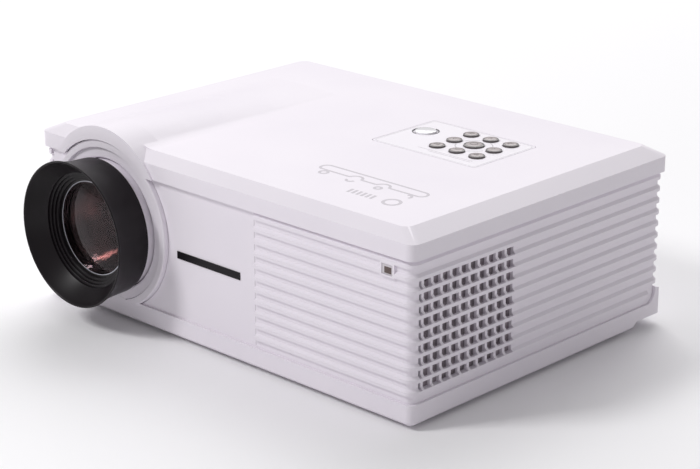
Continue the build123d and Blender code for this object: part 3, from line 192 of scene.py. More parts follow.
def stroke_into(build: BMesh, stroke: Stroke, width: float, low: float, high: float) -> None:
    """Add a printed line to a mesh as a thin closed band.

    Args:
        build: mesh in millimetres.
        stroke: points of the middle of the line, and whether it closes on itself.
        width: width of the line.
        low: height of its underside.
        high: height of its top.
    """
    points = [Vector(p) for p in stroke[0]]
    loop = stroke[1]
    count = len(points)
    rims = []
    for k, point in enumerate(points):
        before = points[k - 1] if k or loop else point
        after = points[(k + 1) % count] if k + 1 < count or loop else point
        tangents = [d.normalized() for d in (point - before, after - point) if d.length > 1e-9]
        tangent = sum(tangents, Vector((0, 0))).normalized()
        mitre = max(tangent.dot(tangents[0]), SHARPEST_MITRE)
        side = Vector((-tangent.y, tangent.x)) * (width / 2 / mitre)
        left, right = point + side, point - side
        corners = ((left, low), (right, low), (right, high), (left, high))
        rims.append([build.verts.new((p.x, p.y, z)) for p, z in corners])
    for one, two in zip(rims, rims[1:] + (rims[:1] if loop else [])):
        for k in range(4):
            build.faces.new([one[k], one[(k + 1) % 4], two[(k + 1) % 4], two[k]])
    if not loop:
        build.faces.new(rims[0])
        build.faces.new(rims[-1][::-1])


def arc(x: float, y: float, radius: float, start: float, end: float, steps: int = 16) -> Outline:
    """Points along an arc whose angles are in degrees."""
    angles = [radians(start + (end - start) * k / steps) for k in range(steps + 1)]
    return tuple((x + radius * cos(a), y + radius * sin(a)) for a in angles)


def circle(x: float, y: float, radius: float, steps: int = 24) -> Stroke:
    """Closed stroke round a circle."""
    return arc(x, y, radius, 0, 360, steps)[:-1], True


def dome(radius: float, foot: float, rise: float, start: int = 0, step: int = 15) -> Section:
    """Domed end of a section, from start degrees above its rim to near its middle."""
    angles = [radians(a) for a in range(start, 90, step)]
    return [(radius * cos(a), foot + rise * sin(a)) for a in angles]


def moved(stroke: Stroke, x: float, y: float, scale: float = 1.0) -> Stroke:
    """A stroke scaled about its own middle and moved."""
    return tuple((x + px * scale, y + py * scale) for px, py in stroke[0]), stroke[1]


def lens_face(radius: float, curve: float, rim: float, steps: int = 24) -> Section:
    """Spherical face of a lens, from its axis to its rim.

    Args:
        radius: radius of the lens.
        curve: radius of the sphere, less than nothing for a hollow face.
        rim: distance of the rim along the axis.
        steps: parts of the curve.

    Returns:
        The face as (radius, distance along the axis).
    """
    side = 1 if curve > 0 else -1
    deepest = sqrt(curve**2 - radius**2)
    radii = [radius * k / steps for k in range(steps + 1)]
    return [(r, rim + side * (deepest - sqrt(curve**2 - r**2))) for r in radii]


def softened(node: str, width: float, corner: float = 22.0, shortest: float = 0.6) -> Mesh:
    """Copy of a node with its faces merged and its outer edges rounded.

    Args:
        node: name of the node.
        width: width of the rounding in millimetres, or 0 for none.
        corner: angle in degrees past which an edge is rounded.
        shortest: length in millimetres below which an edge stays sharp.

    Returns:
        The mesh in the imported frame.
    """
    build = bmesh.new()
    build.from_mesh(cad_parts[node].data)
    bmesh.ops.remove_doubles(build, verts=build.verts, dist=1e-6)
    bmesh.ops.dissolve_limit(build, angle_limit=radians(0.4), verts=build.verts, edges=build.edges)
    if width:
        rounded = [
            edge for edge in build.edges
            if edge.is_manifold and edge.is_convex and edge.calc_face_angle(0) > radians(corner)
            and edge.calc_length() > shortest * MM
        ]
        bmesh.ops.bevel(
            build, geom=rounded, offset=width * MM, offset_type="OFFSET", segments=2, profile=0.6,
            affect="EDGES", clamp_overlap=True,
        )
    return closed(build, node + "_skin")


# ---------------------------------------------------------------- shader node groups
def linear(colour: Colour) -> tuple[float, float, float, float]:
    """A colour seen on a screen, 0 to 255, as the linear colour that a shader takes."""
    parts = [c / 255 for c in colour]
    return tuple(c / 12.92 if c <= 0.04045 else ((c + 0.055) / 1.055) ** 2.4 for c in parts) + (1.0,)


def set_inputs(node: Node, **values: object) -> None:
    """Set a node's inputs by socket name, with spaces as underscores."""
    for key, value in values.items():
        node.inputs[key.replace("_", " ")].default_value = value


class Socket(Enum):
    """Kind of a socket of a node group."""

    FLOAT = "NodeSocketFloat"
    INT = "NodeSocketInt"
    COLOUR = "NodeSocketColor"
    VECTOR = "NodeSocketVector"
    OBJECT = "NodeSocketObject"
    MATERIAL = "NodeSocketMaterial"
    GEOMETRY = "NodeSocketGeometry"


@dataclass
class Graph:
    """A node tree under construction, with short ways to add and join nodes."""

    tree: NodeTree

    def add(self, kind: str, **values: object) -> Node:
        """Add a node and set its properties and, by socket name, its inputs.

        Args:
            kind: Blender's name of the node's type.
            values: properties of the node, or inputs with their spaces as underscores.

        Returns:
            The new node.
        """
        node = self.tree.nodes.new(kind)
        for key, value in values.items():
            if hasattr(node, key):
                setattr(node, key, value)
            else:
                set_inputs(node, **{key: value})
        return node

    def maths(self, operation: str, second: float | None = None, clamp: bool = False) -> Node:
        """Add a maths node.

        Args:
            operation: Blender's name of what it works out.
            second: its second value, where no link gives it.
            clamp: whether the result stays between 0 and 1.

        Returns:
            The new node.
        """
        node = self.add("ShaderNodeMath", operation=operation, use_clamp=clamp)
        if second is not None:
            node.inputs[1].default_value = second
        return node

    def join(self, *links: Link) -> None:
        """Link sockets, each link as (node, output, node, input)."""
        for source, output, target, entry in links:
            self.tree.links.new(source.outputs[output], target.inputs[entry])


def node_group(
    name: str, kind: str, inputs: dict[str, tuple[Socket, object]], outputs: dict[str, Socket],
) -> tuple[Graph, Node, Node]:
    """Start a node group.

    Args:
        name: name of the group.
        kind: Blender's name of the kind of tree.
        inputs: kind and default value of each input, or None where it has no default.
        outputs: kind of each output.

    Returns:
        The group's graph, its Group Input node and its Group Output node.
    """
    tree = bpy.data.node_groups.new(name, kind)
    for label, (socket, value) in inputs.items():
        made = tree.interface.new_socket(label, in_out="INPUT", socket_type=socket.value)
        if value is not None:
            made.default_value = value
    for label, socket in outputs.items():
        tree.interface.new_socket(label, in_out="OUTPUT", socket_type=socket.value)
    graph = Graph(tree)
    return graph, graph.add("NodeGroupInput"), graph.add("NodeGroupOutput")


@cache
def skin_group() -> NodeTree:
    """Fine grain of a moulded surface, as a height and a roughness that drifts."""
    g, start, end = node_group(
        "moulded_skin", "ShaderNodeTree",
        {"Grain Size": (Socket.FLOAT, 2500.0), "Roughness": (Socket.FLOAT, 0.4),
         "Drift": (Socket.FLOAT, 0.05)},
        {"Height": Socket.FLOAT, "Roughness": Socket.FLOAT},
    )
    where = g.add("ShaderNodeTexCoord")
    grain = g.add("ShaderNodeTexNoise", Detail=2.0, Roughness=0.6)
    patches = g.add("ShaderNodeTexNoise", Scale=14.0, Detail=2.0)
    shift = g.maths("SUBTRACT", 0.5)
    scaled = g.maths("MULTIPLY")
    total = g.maths("ADD", clamp=True)
    g.join(
        (where, "Object", grain, "Vector"), (start, "Grain Size", grain, "Scale"),
        (where, "Object", patches, "Vector"), (patches, "Fac", shift, 0), (shift, 0, scaled, 0),
        (start, "Drift", scaled, 1), (scaled, 0, total, 0), (start, "Roughness", total, 1),
        (grain, "Fac", end, "Height"), (total, 0, end, "Roughness"),
    )
    return g.tree


@cache
def tone_group() -> NodeTree:
    """Slow drift of a colour towards a second one, as in handled or dusty plastic."""
    g, start, end = node_group(
        "tone_drift", "ShaderNodeTree",
        {"Colour": (Socket.COLOUR, (0.8, 0.8, 0.8, 1.0)), "Second": (Socket.COLOUR, (0.7, 0.7, 0.7, 1.0)),
         "Patch Size": (Socket.FLOAT, 9.0)},
        {"Colour": Socket.COLOUR},
    )
    where = g.add("ShaderNodeTexCoord")
    noise = g.add("ShaderNodeTexNoise", Detail=3.0)
    ramp = g.add("ShaderNodeMapRange", From_Min=0.35, From_Max=0.75)
    mix = g.add("ShaderNodeMix", data_type="RGBA")
    g.join(
        (where, "Object", noise, "Vector"), (start, "Patch Size", noise, "Scale"),
        (noise, "Fac", ramp, "Value"), (ramp, "Result", mix, 0), (start, "Colour", mix, 6),
        (start, "Second", mix, 7), (mix, 2, end, "Colour"),
    )
    return g.tree


@cache
def rings_group() -> NodeTree:
    """Turning marks about an axis, as a height."""
    g, start, end = node_group(
        "turning_marks", "ShaderNodeTree",
        {"Centre": (Socket.VECTOR, (0.0, 0.0, 0.0)), "Across": (Socket.VECTOR, (1.0, 0.0, 1.0)),
         "Rings per Metre": (Socket.FLOAT, 1500.0)},
        {"Height": Socket.FLOAT},
    )
    where = g.add("ShaderNodeTexCoord")
    offset = g.add("ShaderNodeVectorMath", operation="SUBTRACT")
    flat = g.add("ShaderNodeVectorMath", operation="MULTIPLY")
    length = g.add("ShaderNodeVectorMath", operation="LENGTH")
    phase = g.maths("MULTIPLY")
    wave = g.maths("SINE")
    g.join(
        (where, "Object", offset, 0), (start, "Centre", offset, 1), (offset, "Vector", flat, 0),
        (start, "Across", flat, 1), (flat, "Vector", length, 0), (length, "Value", phase, 0),
        (start, "Rings per Metre", phase, 1), (phase, 0, wave, 0), (wave, 0, end, "Height"),
    )
    return g.tree


@cache
def brushed_group() -> NodeTree:
    """Marks of drawn or brushed metal, as a height and a roughness."""
    g, start, end = node_group(
        "brushed_marks", "ShaderNodeTree",
        {"Stretch": (Socket.VECTOR, (20.0, 900.0, 900.0)), "Roughness": (Socket.FLOAT, 0.35)},
        {"Height": Socket.FLOAT, "Roughness": Socket.FLOAT},
    )
    where = g.add("ShaderNodeTexCoord")
    stretch = g.add("ShaderNodeVectorMath", operation="MULTIPLY")
    noise = g.add("ShaderNodeTexNoise", Scale=1.0, Detail=2.0)
    spread = g.maths("MULTIPLY_ADD", 0.15)
    g.join(
        (where, "Object", stretch, 0), (start, "Stretch", stretch, 1), (stretch, "Vector", noise, "Vector"),
        (noise, "Fac", spread, 0), (start, "Roughness", spread, 2), (noise, "Fac", end, "Height"),
        (spread, 0, end, "Roughness"),
    )
    return g.tree


# ---------------------------------------------------------------- finishes
@dataclass(frozen=True)
class Finish:
    """A plain finish: one colour, one roughness, and the record's slot that it stands for.

    Its material's name starts with look_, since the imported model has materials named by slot.
    """

    name: str
    slot: str
    colour: Colour
    roughness: float = 0.4

    def material(self) -> Material:
        """Build the material the first time, and hand back the same one after that."""
        name = "look_" + self.name
        made = bpy.data.materials.get(name)
        if made is not None:
            return made
        made = bpy.data.materials.new(name)
        made.use_nodes = True
        shader = made.node_tree.nodes["Principled BSDF"]
        set_inputs(shader, Base_Color=linear(self.colour), Roughness=self.roughness)
        self.shade(Graph(made.node_tree), shader)
        return made

    def shade(self, graph: Graph, shader: Node) -> None:
        """Add what this kind of finish has beyond its colour and roughness."""

    def bump(self, graph: Graph, shader: Node, marks: Node, depth: float) -> None:
        """Feed the height of some marks into the shader's normal, depth being in millimetres."""
        bump = graph.add("ShaderNodeBump", Strength=1.0, Distance=depth * MM)
        graph.join((marks, "Height", bump, "Height"), (bump, "Normal", shader, "Normal"))

    def group(self, graph: Graph, tree: NodeTree, **values: object) -> Node:
        """Place a shared node group with this finish's own values."""
        node = graph.add("ShaderNodeGroup", node_tree=tree)
        set_inputs(node, **values)
        return node


@dataclass(frozen=True)
class Moulded(Finish):
    """Moulded plastic or rubber with a fine grain and a colour that drifts a little."""

    second: Colour | None = None
    grain: float = 0.004
    grain_size: float = 2600.0
    drift: float = 0.06
    coat: float = 0.0
    coat_roughness: float = 0.06
    shine: float = 0.5

    def shade(self, graph: Graph, shader: Node) -> None:
        """Join the grain, the roughness and the tone to the shader."""
        skin = self.group(
            graph, skin_group(), Grain_Size=self.grain_size, Roughness=self.roughness, Drift=self.drift)
        graph.join((skin, "Roughness", shader, "Roughness"))
        self.bump(graph, shader, skin, self.grain)
        if self.second is not None:
            tone = self.group(graph, tone_group(), Colour=linear(self.colour), Second=linear(self.second))
            graph.join((tone, "Colour", shader, "Base Color"))
        set_inputs(
            shader, Specular_IOR_Level=self.shine, Coat_Weight=self.coat, Coat_Roughness=self.coat_roughness)


@dataclass(frozen=True)
class Turned(Finish):
    """Plastic with turning marks about an axis."""

    centre: Point = (LENS_X, 0.0, LENS_Z)
    across: Point = (1.0, 0.0, 1.0)
    rings: float = 9000.0
    depth: float = 0.01

    def shade(self, graph: Graph, shader: Node) -> None:
        """Join the turning marks to the shader."""
        marks = self.group(
            graph, rings_group(), Centre=tuple(row(self.centre)), Across=self.across,
            Rings_per_Metre=self.rings)
        self.bump(graph, shader, marks, self.depth)


@dataclass(frozen=True)
class Brushed(Finish):
    """Sheet metal or extruded metal with marks along one direction."""

    stretch: Point = (20.0, 900.0, 900.0)
    depth: float = 0.01

    def shade(self, graph: Graph, shader: Node) -> None:
        """Join the brushing marks to the shader."""
        marks = self.group(graph, brushed_group(), Stretch=self.stretch, Roughness=self.roughness)
        graph.join((marks, "Roughness", shader, "Roughness"))
        self.bump(graph, shader, marks, self.depth)
        set_inputs(shader, Metallic=1.0)


@dataclass(frozen=True)
class Glass(Finish):
    """Clear or tinted glass, coated where film is more than nothing."""

    transmission: float = 1.0
    film: float = 0.0
    coat: float = 0.0
    coat_tint: Colour = (255, 255, 255)
    coat_roughness: float = 0.02
    ior: float = 1.52

    def shade(self, graph: Graph, shader: Node) -> None:
        """Set the glass values on the shader's own sockets."""
        set_inputs(
            shader, Transmission_Weight=self.transmission, IOR=self.ior, Thin_Film_Thickness=self.film,
            Coat_Weight=self.coat, Coat_Tint=linear(self.coat_tint), Coat_Roughness=self.coat_roughness)


WHITE_ABS = Moulded("white_abs", "case_white", (238, 232, 240), 0.5, second=(233, 227, 236), shine=0.3)
WHITE_PLATE = Moulded(
    "white_plate", "plate_white", (240, 235, 242), 0.4, second=(236, 231, 239), grain=0.001, shine=0.3)
WHITE_BUTTON = Moulded("white_button", "key_silver", (246, 244, 248), 0.12, grain=0.0005, coat=0.6)
GREY_KEY = Moulded("grey_key", "key_grey", (84, 76, 78), 0.3, grain=0.0005, coat=0.1)
# paler face of the keys: painted highlight on their lit tops, over the key's own darker grey
KEY_HIGHLIGHT = Moulded("key_face", "key_grey", (158, 146, 147), 0.34, grain=0.0005, coat=0.1)
KEY_SHADE = Finish("key_shade", "key_grey", (66, 62, 68), 0.4)
KEY_MARK = Finish("key_mark", "key_silver", (96, 88, 90), 0.4)
PRINT_GREY = Finish("print_grey", "plate_white", (196, 190, 198), 0.5)
# grey strip of painted shade in the seam where the front ribs end
SEAM_SHADE = Finish("seam_grey", "case_white", (208, 201, 209), 0.5)
PRINT_PALE = Finish("print_pale", "plate_white", (200, 196, 202), 0.5)
HOOD_BLACK = Moulded(
    "hood_black", "hood_black", (27, 22, 26), 0.36, second=(23, 19, 22), grain=0.003, shine=0.2)
BARREL_BLACK = Turned("barrel_black", "barrel_black", (24, 20, 21), 0.42)
RING_BROWN = Turned("ring_brown", "barrel_black", (84, 52, 44), 0.4, rings=14000.0)
LENS_GLASS = Glass(
    "lens_glass", "lens_glass", (188, 170, 167), 0.01, coat=0.1, coat_tint=(232, 220, 255), ior=1.2)
SECOND_GLASS = Glass("second_glass", "lens_glass", (136, 108, 102), 0.12, ior=1.4)
# pale ring round the glass: its ground edge, and a painted highlight of the rim
GROUND_EDGE_AND_HIGHLIGHT = Finish("glass_edge", "lens_glass", (196, 196, 206), 0.25)
INNER_GLASS = Glass("inner_glass", "inner_glass", (204, 195, 220), 0.02, film=420.0)
LCD_DARK = Glass("lcd_dark", "lcd_dark", (60, 60, 66), 0.1, transmission=0.4)
WINDOW_DARK = Glass("window_dark", "window_dark", (70, 34, 26), 0.05, transmission=0.2, coat=0.8)
WINDOW_GREY = Moulded("window_grey", "window_dark", (206, 200, 206), 0.3, grain=0.0005)
STRIP_BLACK = Moulded("strip_black", "strip_black", (24, 21, 25), 0.3, grain=0.0005, shine=0.15)
SHEET_STEEL = Brushed("sheet_steel", "sheet_steel", (176, 176, 180), 0.32)
POLISHED = Brushed("polished_steel", "polished_steel", (200, 200, 204), 0.16, depth=0.002)
SINK_METAL = Brushed("sink_metal", "sink_metal", (186, 188, 192), 0.38, stretch=(900.0, 900.0, 20.0))
FAN_GREY = Moulded("fan_grey", "fan_black", (150, 140, 148), 0.42)
SCREEN_GREY = Finish("screen_grey", "fan_black", (178, 168, 176), 0.5)
TRAY_DARK = Moulded("tray_dark", "tray_dark", (52, 52, 56), 0.4)
INNER_GREY = Moulded("inner_grey", "inner_grey", (150, 150, 154), 0.45)
SOCKET_BLACK = Moulded("socket_black", "socket_black", (30, 30, 32), 0.4)
SHELL_METAL = Brushed("shell_metal", "shell_metal", (196, 194, 190), 0.22, depth=0.002)
RUBBER = Moulded("foot_rubber", "foot_rubber", (36, 36, 38), 0.75, grain=0.01)
BOARD_GREEN = Moulded("board_green", "board_green", (28, 84, 52), 0.35, grain=0.001)
BRASS = Brushed("brass", "polished_steel", (196, 164, 96), 0.3, depth=0.002)
JACK_YELLOW = Finish("jack_yellow", "socket_black", (226, 188, 40), 0.4)
JACK_WHITE = Finish("jack_white", "socket_black", (232, 230, 228), 0.4)
JACK_RED = Finish("jack_red", "socket_black", (178, 36, 34), 0.4)
FLOOR_PALE = Finish("floor_pale", "floor", (250, 249, 251), 0.9)


# ---------------------------------------------------------------- placing pieces
def smooth(mesh: Mesh, sharp: float = 30.0) -> None:
    """Shade a mesh smooth except at edges sharper than an angle in degrees.

    Each corner takes the normals of the faces round it by their area, so that a large flat
    face stays flat beside a narrow rounding.

    Args:
        mesh: mesh to shade.
        sharp: angle past which two faces don't share a normal.
    """
    mesh.shade_smooth()
    around: list[list[int]] = [[] for _ in mesh.vertices]
    for face in mesh.polygons:
        for vertex in face.vertices:
            around[vertex].append(face.index)
    faces = [(face.normal.copy(), face.area) for face in mesh.polygons]
    limit = cos(radians(sharp))
    normals = []
    for face in mesh.polygons:
        own = faces[face.index][0]
        for vertex in face.vertices:
            near = [faces[k] for k in around[vertex] if faces[k][0].dot(own) > limit]
            normals.append(sum((normal * area for normal, area in near), Vector()).normalized())
    mesh.normals_split_custom_set(normals)


def added(name: str, data: ID) -> Object:
    """Add an object to the scene."""
    thing = bpy.data.objects.new(name, data)
    bpy.context.scene.collection.objects.link(thing)
    return thing


def place(
    name: str, mesh: Mesh, finish: Finish, body: str = "case", stands_for: Sequence[str] = (),
) -> None:
    """Put a mesh in the scene as a piece of the projector.

    Args:
        name: name of the piece.
        mesh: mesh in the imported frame.
        finish: its finish.
        body: body that it moves with.
        stands_for: nodes that it takes the place of.
    """
    smooth(mesh)
    piece = added(name, mesh)
    mesh.materials.clear()
    mesh.materials.append(finish.material())
    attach(piece, body)
    if stands_for:
        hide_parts(*stands_for)
    log.info("%s: %d faces, moves with %s", name, len(mesh.polygons), body)


def skin(name: str, node: str, edge: float, finish: Finish, body: str = "case") -> None:
    """Place a softened copy of a node instead of it, edge being the width of its rounding."""
    place(name, softened(node, edge), finish, body, [node])


def place_turned(
    name: str, section: Section, centre: Point, finish: Finish, body: str = "case",
    stands_for: Sequence[str] = (), turn: Turn = Turn.Y, steps: int = 128,
) -> None:
    """Turn a section and place it, from the same values as lathe and place."""
    place(name, lathe(name, section, centre, turn, steps), finish, body, stands_for)


def place_lines(
    name: str, strokes: Iterable[Stroke], width: float, span: tuple[float, float], finish: Finish,
    body: str = "case",
) -> None:
    """Place printed lines as one piece.

    Args:
        name: name of the piece.
        strokes: the middles of the lines.
        width: their width.
        span: height of their underside and of their top.
        finish: their finish.
        body: body that they move with.
    """
    build = bmesh.new()
    for stroke in strokes:
        stroke_into(build, stroke, width, *span)
    place(name, finished(build, name), finish, body)


def dress(finish: Finish, *nodes: str) -> None:
    """Give nodes that stay as they are their finish."""
    for node in nodes:
        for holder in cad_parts[node].material_slots:
            holder.material = finish.material()
        log.info("%s: dressed in %s", node, finish.name)


# ---------------------------------------------------------------- repeats
class Layout(Enum):
    """How a repeated unit is laid out."""

    LINE = "line"
    GRID = "grid"
    RING = "ring"


@cache
def repeat_tree(layout: Layout) -> NodeTree:
    """Node tree that repeats a unit and ends as real geometry in one material.

    Args:
        layout: line along X, grid in X and Y, or ring about Z.

    Returns:
        The tree, built once for each layout.
    """
    g, start, end = node_group(
        "repeat_" + layout.value, "GeometryNodeTree",
        {"Unit": (Socket.OBJECT, None), "Count": (Socket.INT, None), "Rows": (Socket.INT, None),
         "Pitch": (Socket.FLOAT, None), "Row Pitch": (Socket.FLOAT, None), "Radius": (Socket.FLOAT, None),
         "Finish": (Socket.MATERIAL, None)},
        {"Geometry": Socket.GEOMETRY},
    )
    unit = g.add("GeometryNodeObjectInfo")
    copies = g.add("GeometryNodeInstanceOnPoints")
    real = g.add("GeometryNodeRealizeInstances")
    finish = g.add("GeometryNodeSetMaterial")
    if layout is Layout.LINE:
        points = g.add("GeometryNodeMeshLine")
        step = g.add("ShaderNodeCombineXYZ")
        g.join(
            (start, "Count", points, "Count"), (start, "Pitch", step, "X"),
            (step, "Vector", points, "Offset"),
        )
    elif layout is Layout.GRID:
        points = g.add("GeometryNodeMeshGrid")
        for count, pitch, axis in (("Count", "Pitch", "X"), ("Rows", "Row Pitch", "Y")):
            less = g.maths("SUBTRACT", 1.0)
            whole = g.maths("MULTIPLY")
            g.join(
                (start, count, less, 0), (less, 0, whole, 0), (start, pitch, whole, 1),
                (whole, 0, points, "Size " + axis), (start, count, points, "Vertices " + axis),
            )
    else:
        points = g.add("GeometryNodeMeshCircle")
        index = g.add("GeometryNodeInputIndex")
        share = g.maths("DIVIDE")
        angle = g.maths("MULTIPLY", tau)
        turned = g.add("ShaderNodeCombineXYZ")
        g.join(
            (start, "Count", points, "Vertices"), (start, "Radius", points, "Radius"), (index, 0, share, 0),
            (start, "Count", share, 1), (share, 0, angle, 0), (angle, 0, turned, "Z"),
            (turned, "Vector", copies, "Rotation"),
        )
    g.join(
        (points, 0, copies, "Points"), (start, "Unit", unit, "Object"),
        (unit, "Geometry", copies, "Instance"), (copies, "Instances", real, "Geometry"),
        (real, "Geometry", finish, "Geometry"), (start, "Finish", finish, "Material"),
        (finish, "Geometry", end, "Geometry"),
    )
    return g.tree


@dataclass
class Repeat:
    """A unit drawn about its own middle, +Z outward, and repeated in a layout."""

    layout: Layout
    unit: Callable[[BMesh], None]
    count: int
    pitch: float = 0.0
    rows: int = 1
    row_pitch: float = 0.0
    radius: float = 0.0

    def mesh(self, name: str, finish: Finish, where: Matrix) -> Mesh:
        """Run the node tree and return its result as a plain mesh.

        Args:
            name: name of the mesh.
            finish: finish of every copy.
            where: where the layout goes in the designer's frame, in millimetres.

        Returns:
            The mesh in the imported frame.
        """
        build = bmesh.new()
        self.unit(build)
        bmesh.ops.recalc_face_normals(build, faces=build.faces)
        unit = added(name + "_unit", closed(build, name + "_unit"))
        host = added(name + "_host", bpy.data.meshes.new(name + "_host"))
        tree = repeat_tree(self.layout)
        modifier = host.modifiers.new("repeat", "NODES")
        modifier.node_group = tree
        values = {
            "Unit": unit, "Count": self.count, "Rows": self.rows, "Pitch": self.pitch,
            "Row Pitch": self.row_pitch, "Radius": self.radius, "Finish": finish.material(),
        }
        for item in tree.interface.items_tree:
            if item.in_out == "INPUT":
                modifier[item.identifier] = values[item.name]
        host.update_tag()
        ready = host.evaluated_get(bpy.context.evaluated_depsgraph_get())
        result = bpy.data.meshes.new_from_object(ready)
        host.modifiers.remove(modifier)
        bpy.data.objects.remove(host)
        bpy.data.objects.remove(unit)
        result.name = name
        result.transform(INTO_ROW @ where)
        return result

    def place(
        self, name: str, finish: Finish, where: Matrix, body: str = "case", stands_for: Sequence[str] = (),
    ) -> None:
        """Place the repeated units as one piece, from the same values as mesh and place."""
        place(name, self.mesh(name, finish, where), finish, body, stands_for)


def screw_head(radius: float, height: float) -> Callable[[BMesh], None]:
    """Pan head with a cross recess, standing on Z = 0.

    Args:
        radius: radius of the head.
        height: height of the head.

    Returns:
        A function that adds the head to a mesh.
    """
    def draw(build: BMesh) -> None:
        """Add the head: a ring with a sunk cross in its middle."""
        arm, half, shoulder_r = radius * 0.55, radius * 0.13, radius * 0.8
        sunk_z, waist_z = height * 0.35, height * 0.55
        cross = [(arm, -half), (arm, half), (half, half), (half, arm), (-half, arm), (-half, half),
                 (-arm, half), (-arm, -half), (-half, -half), (-half, -arm), (half, -arm), (half, -half)]
        angles = [atan2(y, x) for x, y in cross]
        rim = [(shoulder_r * cos(a), shoulder_r * sin(a)) for a in angles]
        edge = [(radius * cos(a), radius * sin(a)) for a in angles]
        sunk, top, shoulder, waist, foot = (
            [build.verts.new((x, y, z)) for x, y in line]
            for line, z in ((cross, sunk_z), (cross, height), (rim, height), (edge, waist_z), (edge, 0.0))
        )
        for k in range(len(cross)):
            after = (k + 1) % len(cross)
            for low, high in ((sunk, top), (top, shoulder), (shoulder, waist), (waist, foot)):
                build.faces.new([low[k], low[after], high[after], high[k]])
        build.faces.new(sunk)
        build.faces.new(foot)

    return draw


def facing(direction: str, at: Point) -> Matrix:
    """Matrix that turns +Z to face a direction and moves it to a point.

    Args:
        direction: back (+Y), down (-Z), right (+X) or up (+Z).
        at: point in the designer's frame.

    Returns:
        The matrix, in millimetres.
    """
    turns = {
        "back": Matrix.Rotation(-pi / 2, 4, "X"), "down": Matrix.Rotation(pi, 4, "X"),
        "right": Matrix.Rotation(pi / 2, 4, "Y"), "up": Matrix.Identity(4),
    }
    return Matrix.Translation(at) @ turns[direction]


# ---------------------------------------------------------------- housing
@dataclass
class Housing:
    """Lid, ribbed walls, base, ring in the front, the plain trim on them and a strip of painted shade along
    the seam.

    The pane's two corners count from the right, front and lower corner of the window, and the
    seam's are in the designer's frame.
    """

    lid_edge: float = 0.7
    wall_edge: float = 0.18
    base_edge: float = 0.5
    ring_edge: float = 0.35
    window_edge: float = 0.3
    strip_edge: float = 0.15
    pane: tuple[Point, Point] = ((-6.2, -0.12, 0.7), (-0.8, 1.5, 4.6))
    pane_edge: float = 0.1
    seam: tuple[Point, Point] = ((33.6, -116.86, 17.5), (34.3, -116.6, 103.5))

    def build(self) -> None:
        """Dress the mouldings, add a grey strip of painted shade along the seam where the ribs end, and add
        what is printed on the lid.
        """
        for node, edge in (
            ("top_cover", self.lid_edge), ("middle_frame", self.wall_edge), ("bottom_case", self.base_edge),
            ("lens_bezel", self.ring_edge),
        ):
            skin(node + "_skin", node, edge, WHITE_ABS)
        skin("window_skin", "ir_window", self.window_edge, WINDOW_GREY)
        low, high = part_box("ir_window")
        corner = (high.x / MM, low.y / MM - FRAME_Y, low.z / MM)
        pane = [tuple(start + reach for start, reach in zip(corner, reaches)) for reaches in self.pane]
        place("window_pane", boxes("window_pane", [pane], self.pane_edge), WINDOW_DARK)
        skin("strip_skin", "name_strip", self.strip_edge, STRIP_BLACK)
        # the seam strip is painted shade standing for the recess at the ribs' ends
        place("front_seam", boxes("front_seam", [self.seam]), SEAM_SHADE)
        LidPrint().build()


@dataclass
class LidPrint:
    """Plain figures printed on the lid in front of the keypad."""

    band_x: tuple[float, float] = (37.0, 122.5)
    band_y: tuple[float, float] = (-66.0, -57.5)
    notch_gap: float = 2.2
    notch_foot: float = 1.5
    figure_x: tuple[float, ...] = (46.5, 69.0, 91.5, 115.0)
    figure_y: float = -70.2
    figure_r: float = 2.7
    bars_x: tuple[float, float] = (81.0, 103.0)
    bars_y: tuple[float, float] = (-88.0, -81.5)
    bars: int = 6
    bar_lean: float = 0.6
    bar_share: float = 0.55
    ring: tuple[float, float, float] = (115.5, -84.0, 5.2)
    ring_line: float = 2.1
    line: float = 1.8
    ink: float = 0.03
    figure_ink: float = 0.04

    def outline(self) -> Stroke:
        """Band with a notch round each figure along its front edge."""
        x0, x1 = self.band_x
        y0, y1 = self.band_y
        corner = (y1 - y0) / 2
        points = [*arc(x0 + corner, y1 - corner, corner, 250, 90, 10)]
        points += arc(x1 - corner, y1 - corner, corner, 90, -70, 10)
        notch = self.figure_r + self.notch_gap
        foot = notch + self.notch_foot
        for x in reversed(self.figure_x[1:-1]):
            points += [(x + foot, y0), *arc(x, y0 - 0.5, notch, 10, 170, 10), (x - foot, y0)]
        return tuple(points), True

    def build(self) -> None:
        """Add the printed lines as thin closed bands."""
        low, high = LID_TOP - self.ink, LID_TOP + self.ink
        build = bmesh.new()
        stroke_into(build, self.outline(), self.line, low, high)
        radius = self.figure_r
        figures = (
            circle(0, 0, radius), (arc(0, 0, radius, 180, 360), False),
            circle(0, 0, radius * 0.8), (arc(0, 0, radius, -40, 130), False),
        )
        for x, figure in zip(self.figure_x, figures):
            stroke_into(build, moved(figure, x, self.figure_y), self.line, low, LID_TOP + self.figure_ink)
        stroke_into(build, circle(*self.ring, 40), self.ring_line, low, high)
        x0, x1 = self.bars_x
        y0, y1 = self.bars_y
        step = (x1 - x0) / self.bars
        for k in range(self.bars):
            x = x0 + (k + 0.5) * step
            bar = ((x + self.bar_lean, y0), (x - self.bar_lean, y1)), False
            stroke_into(build, bar, step * self.bar_share, low, high)
        place("lid_print", finished(build, "lid_print"), PRINT_GREY)


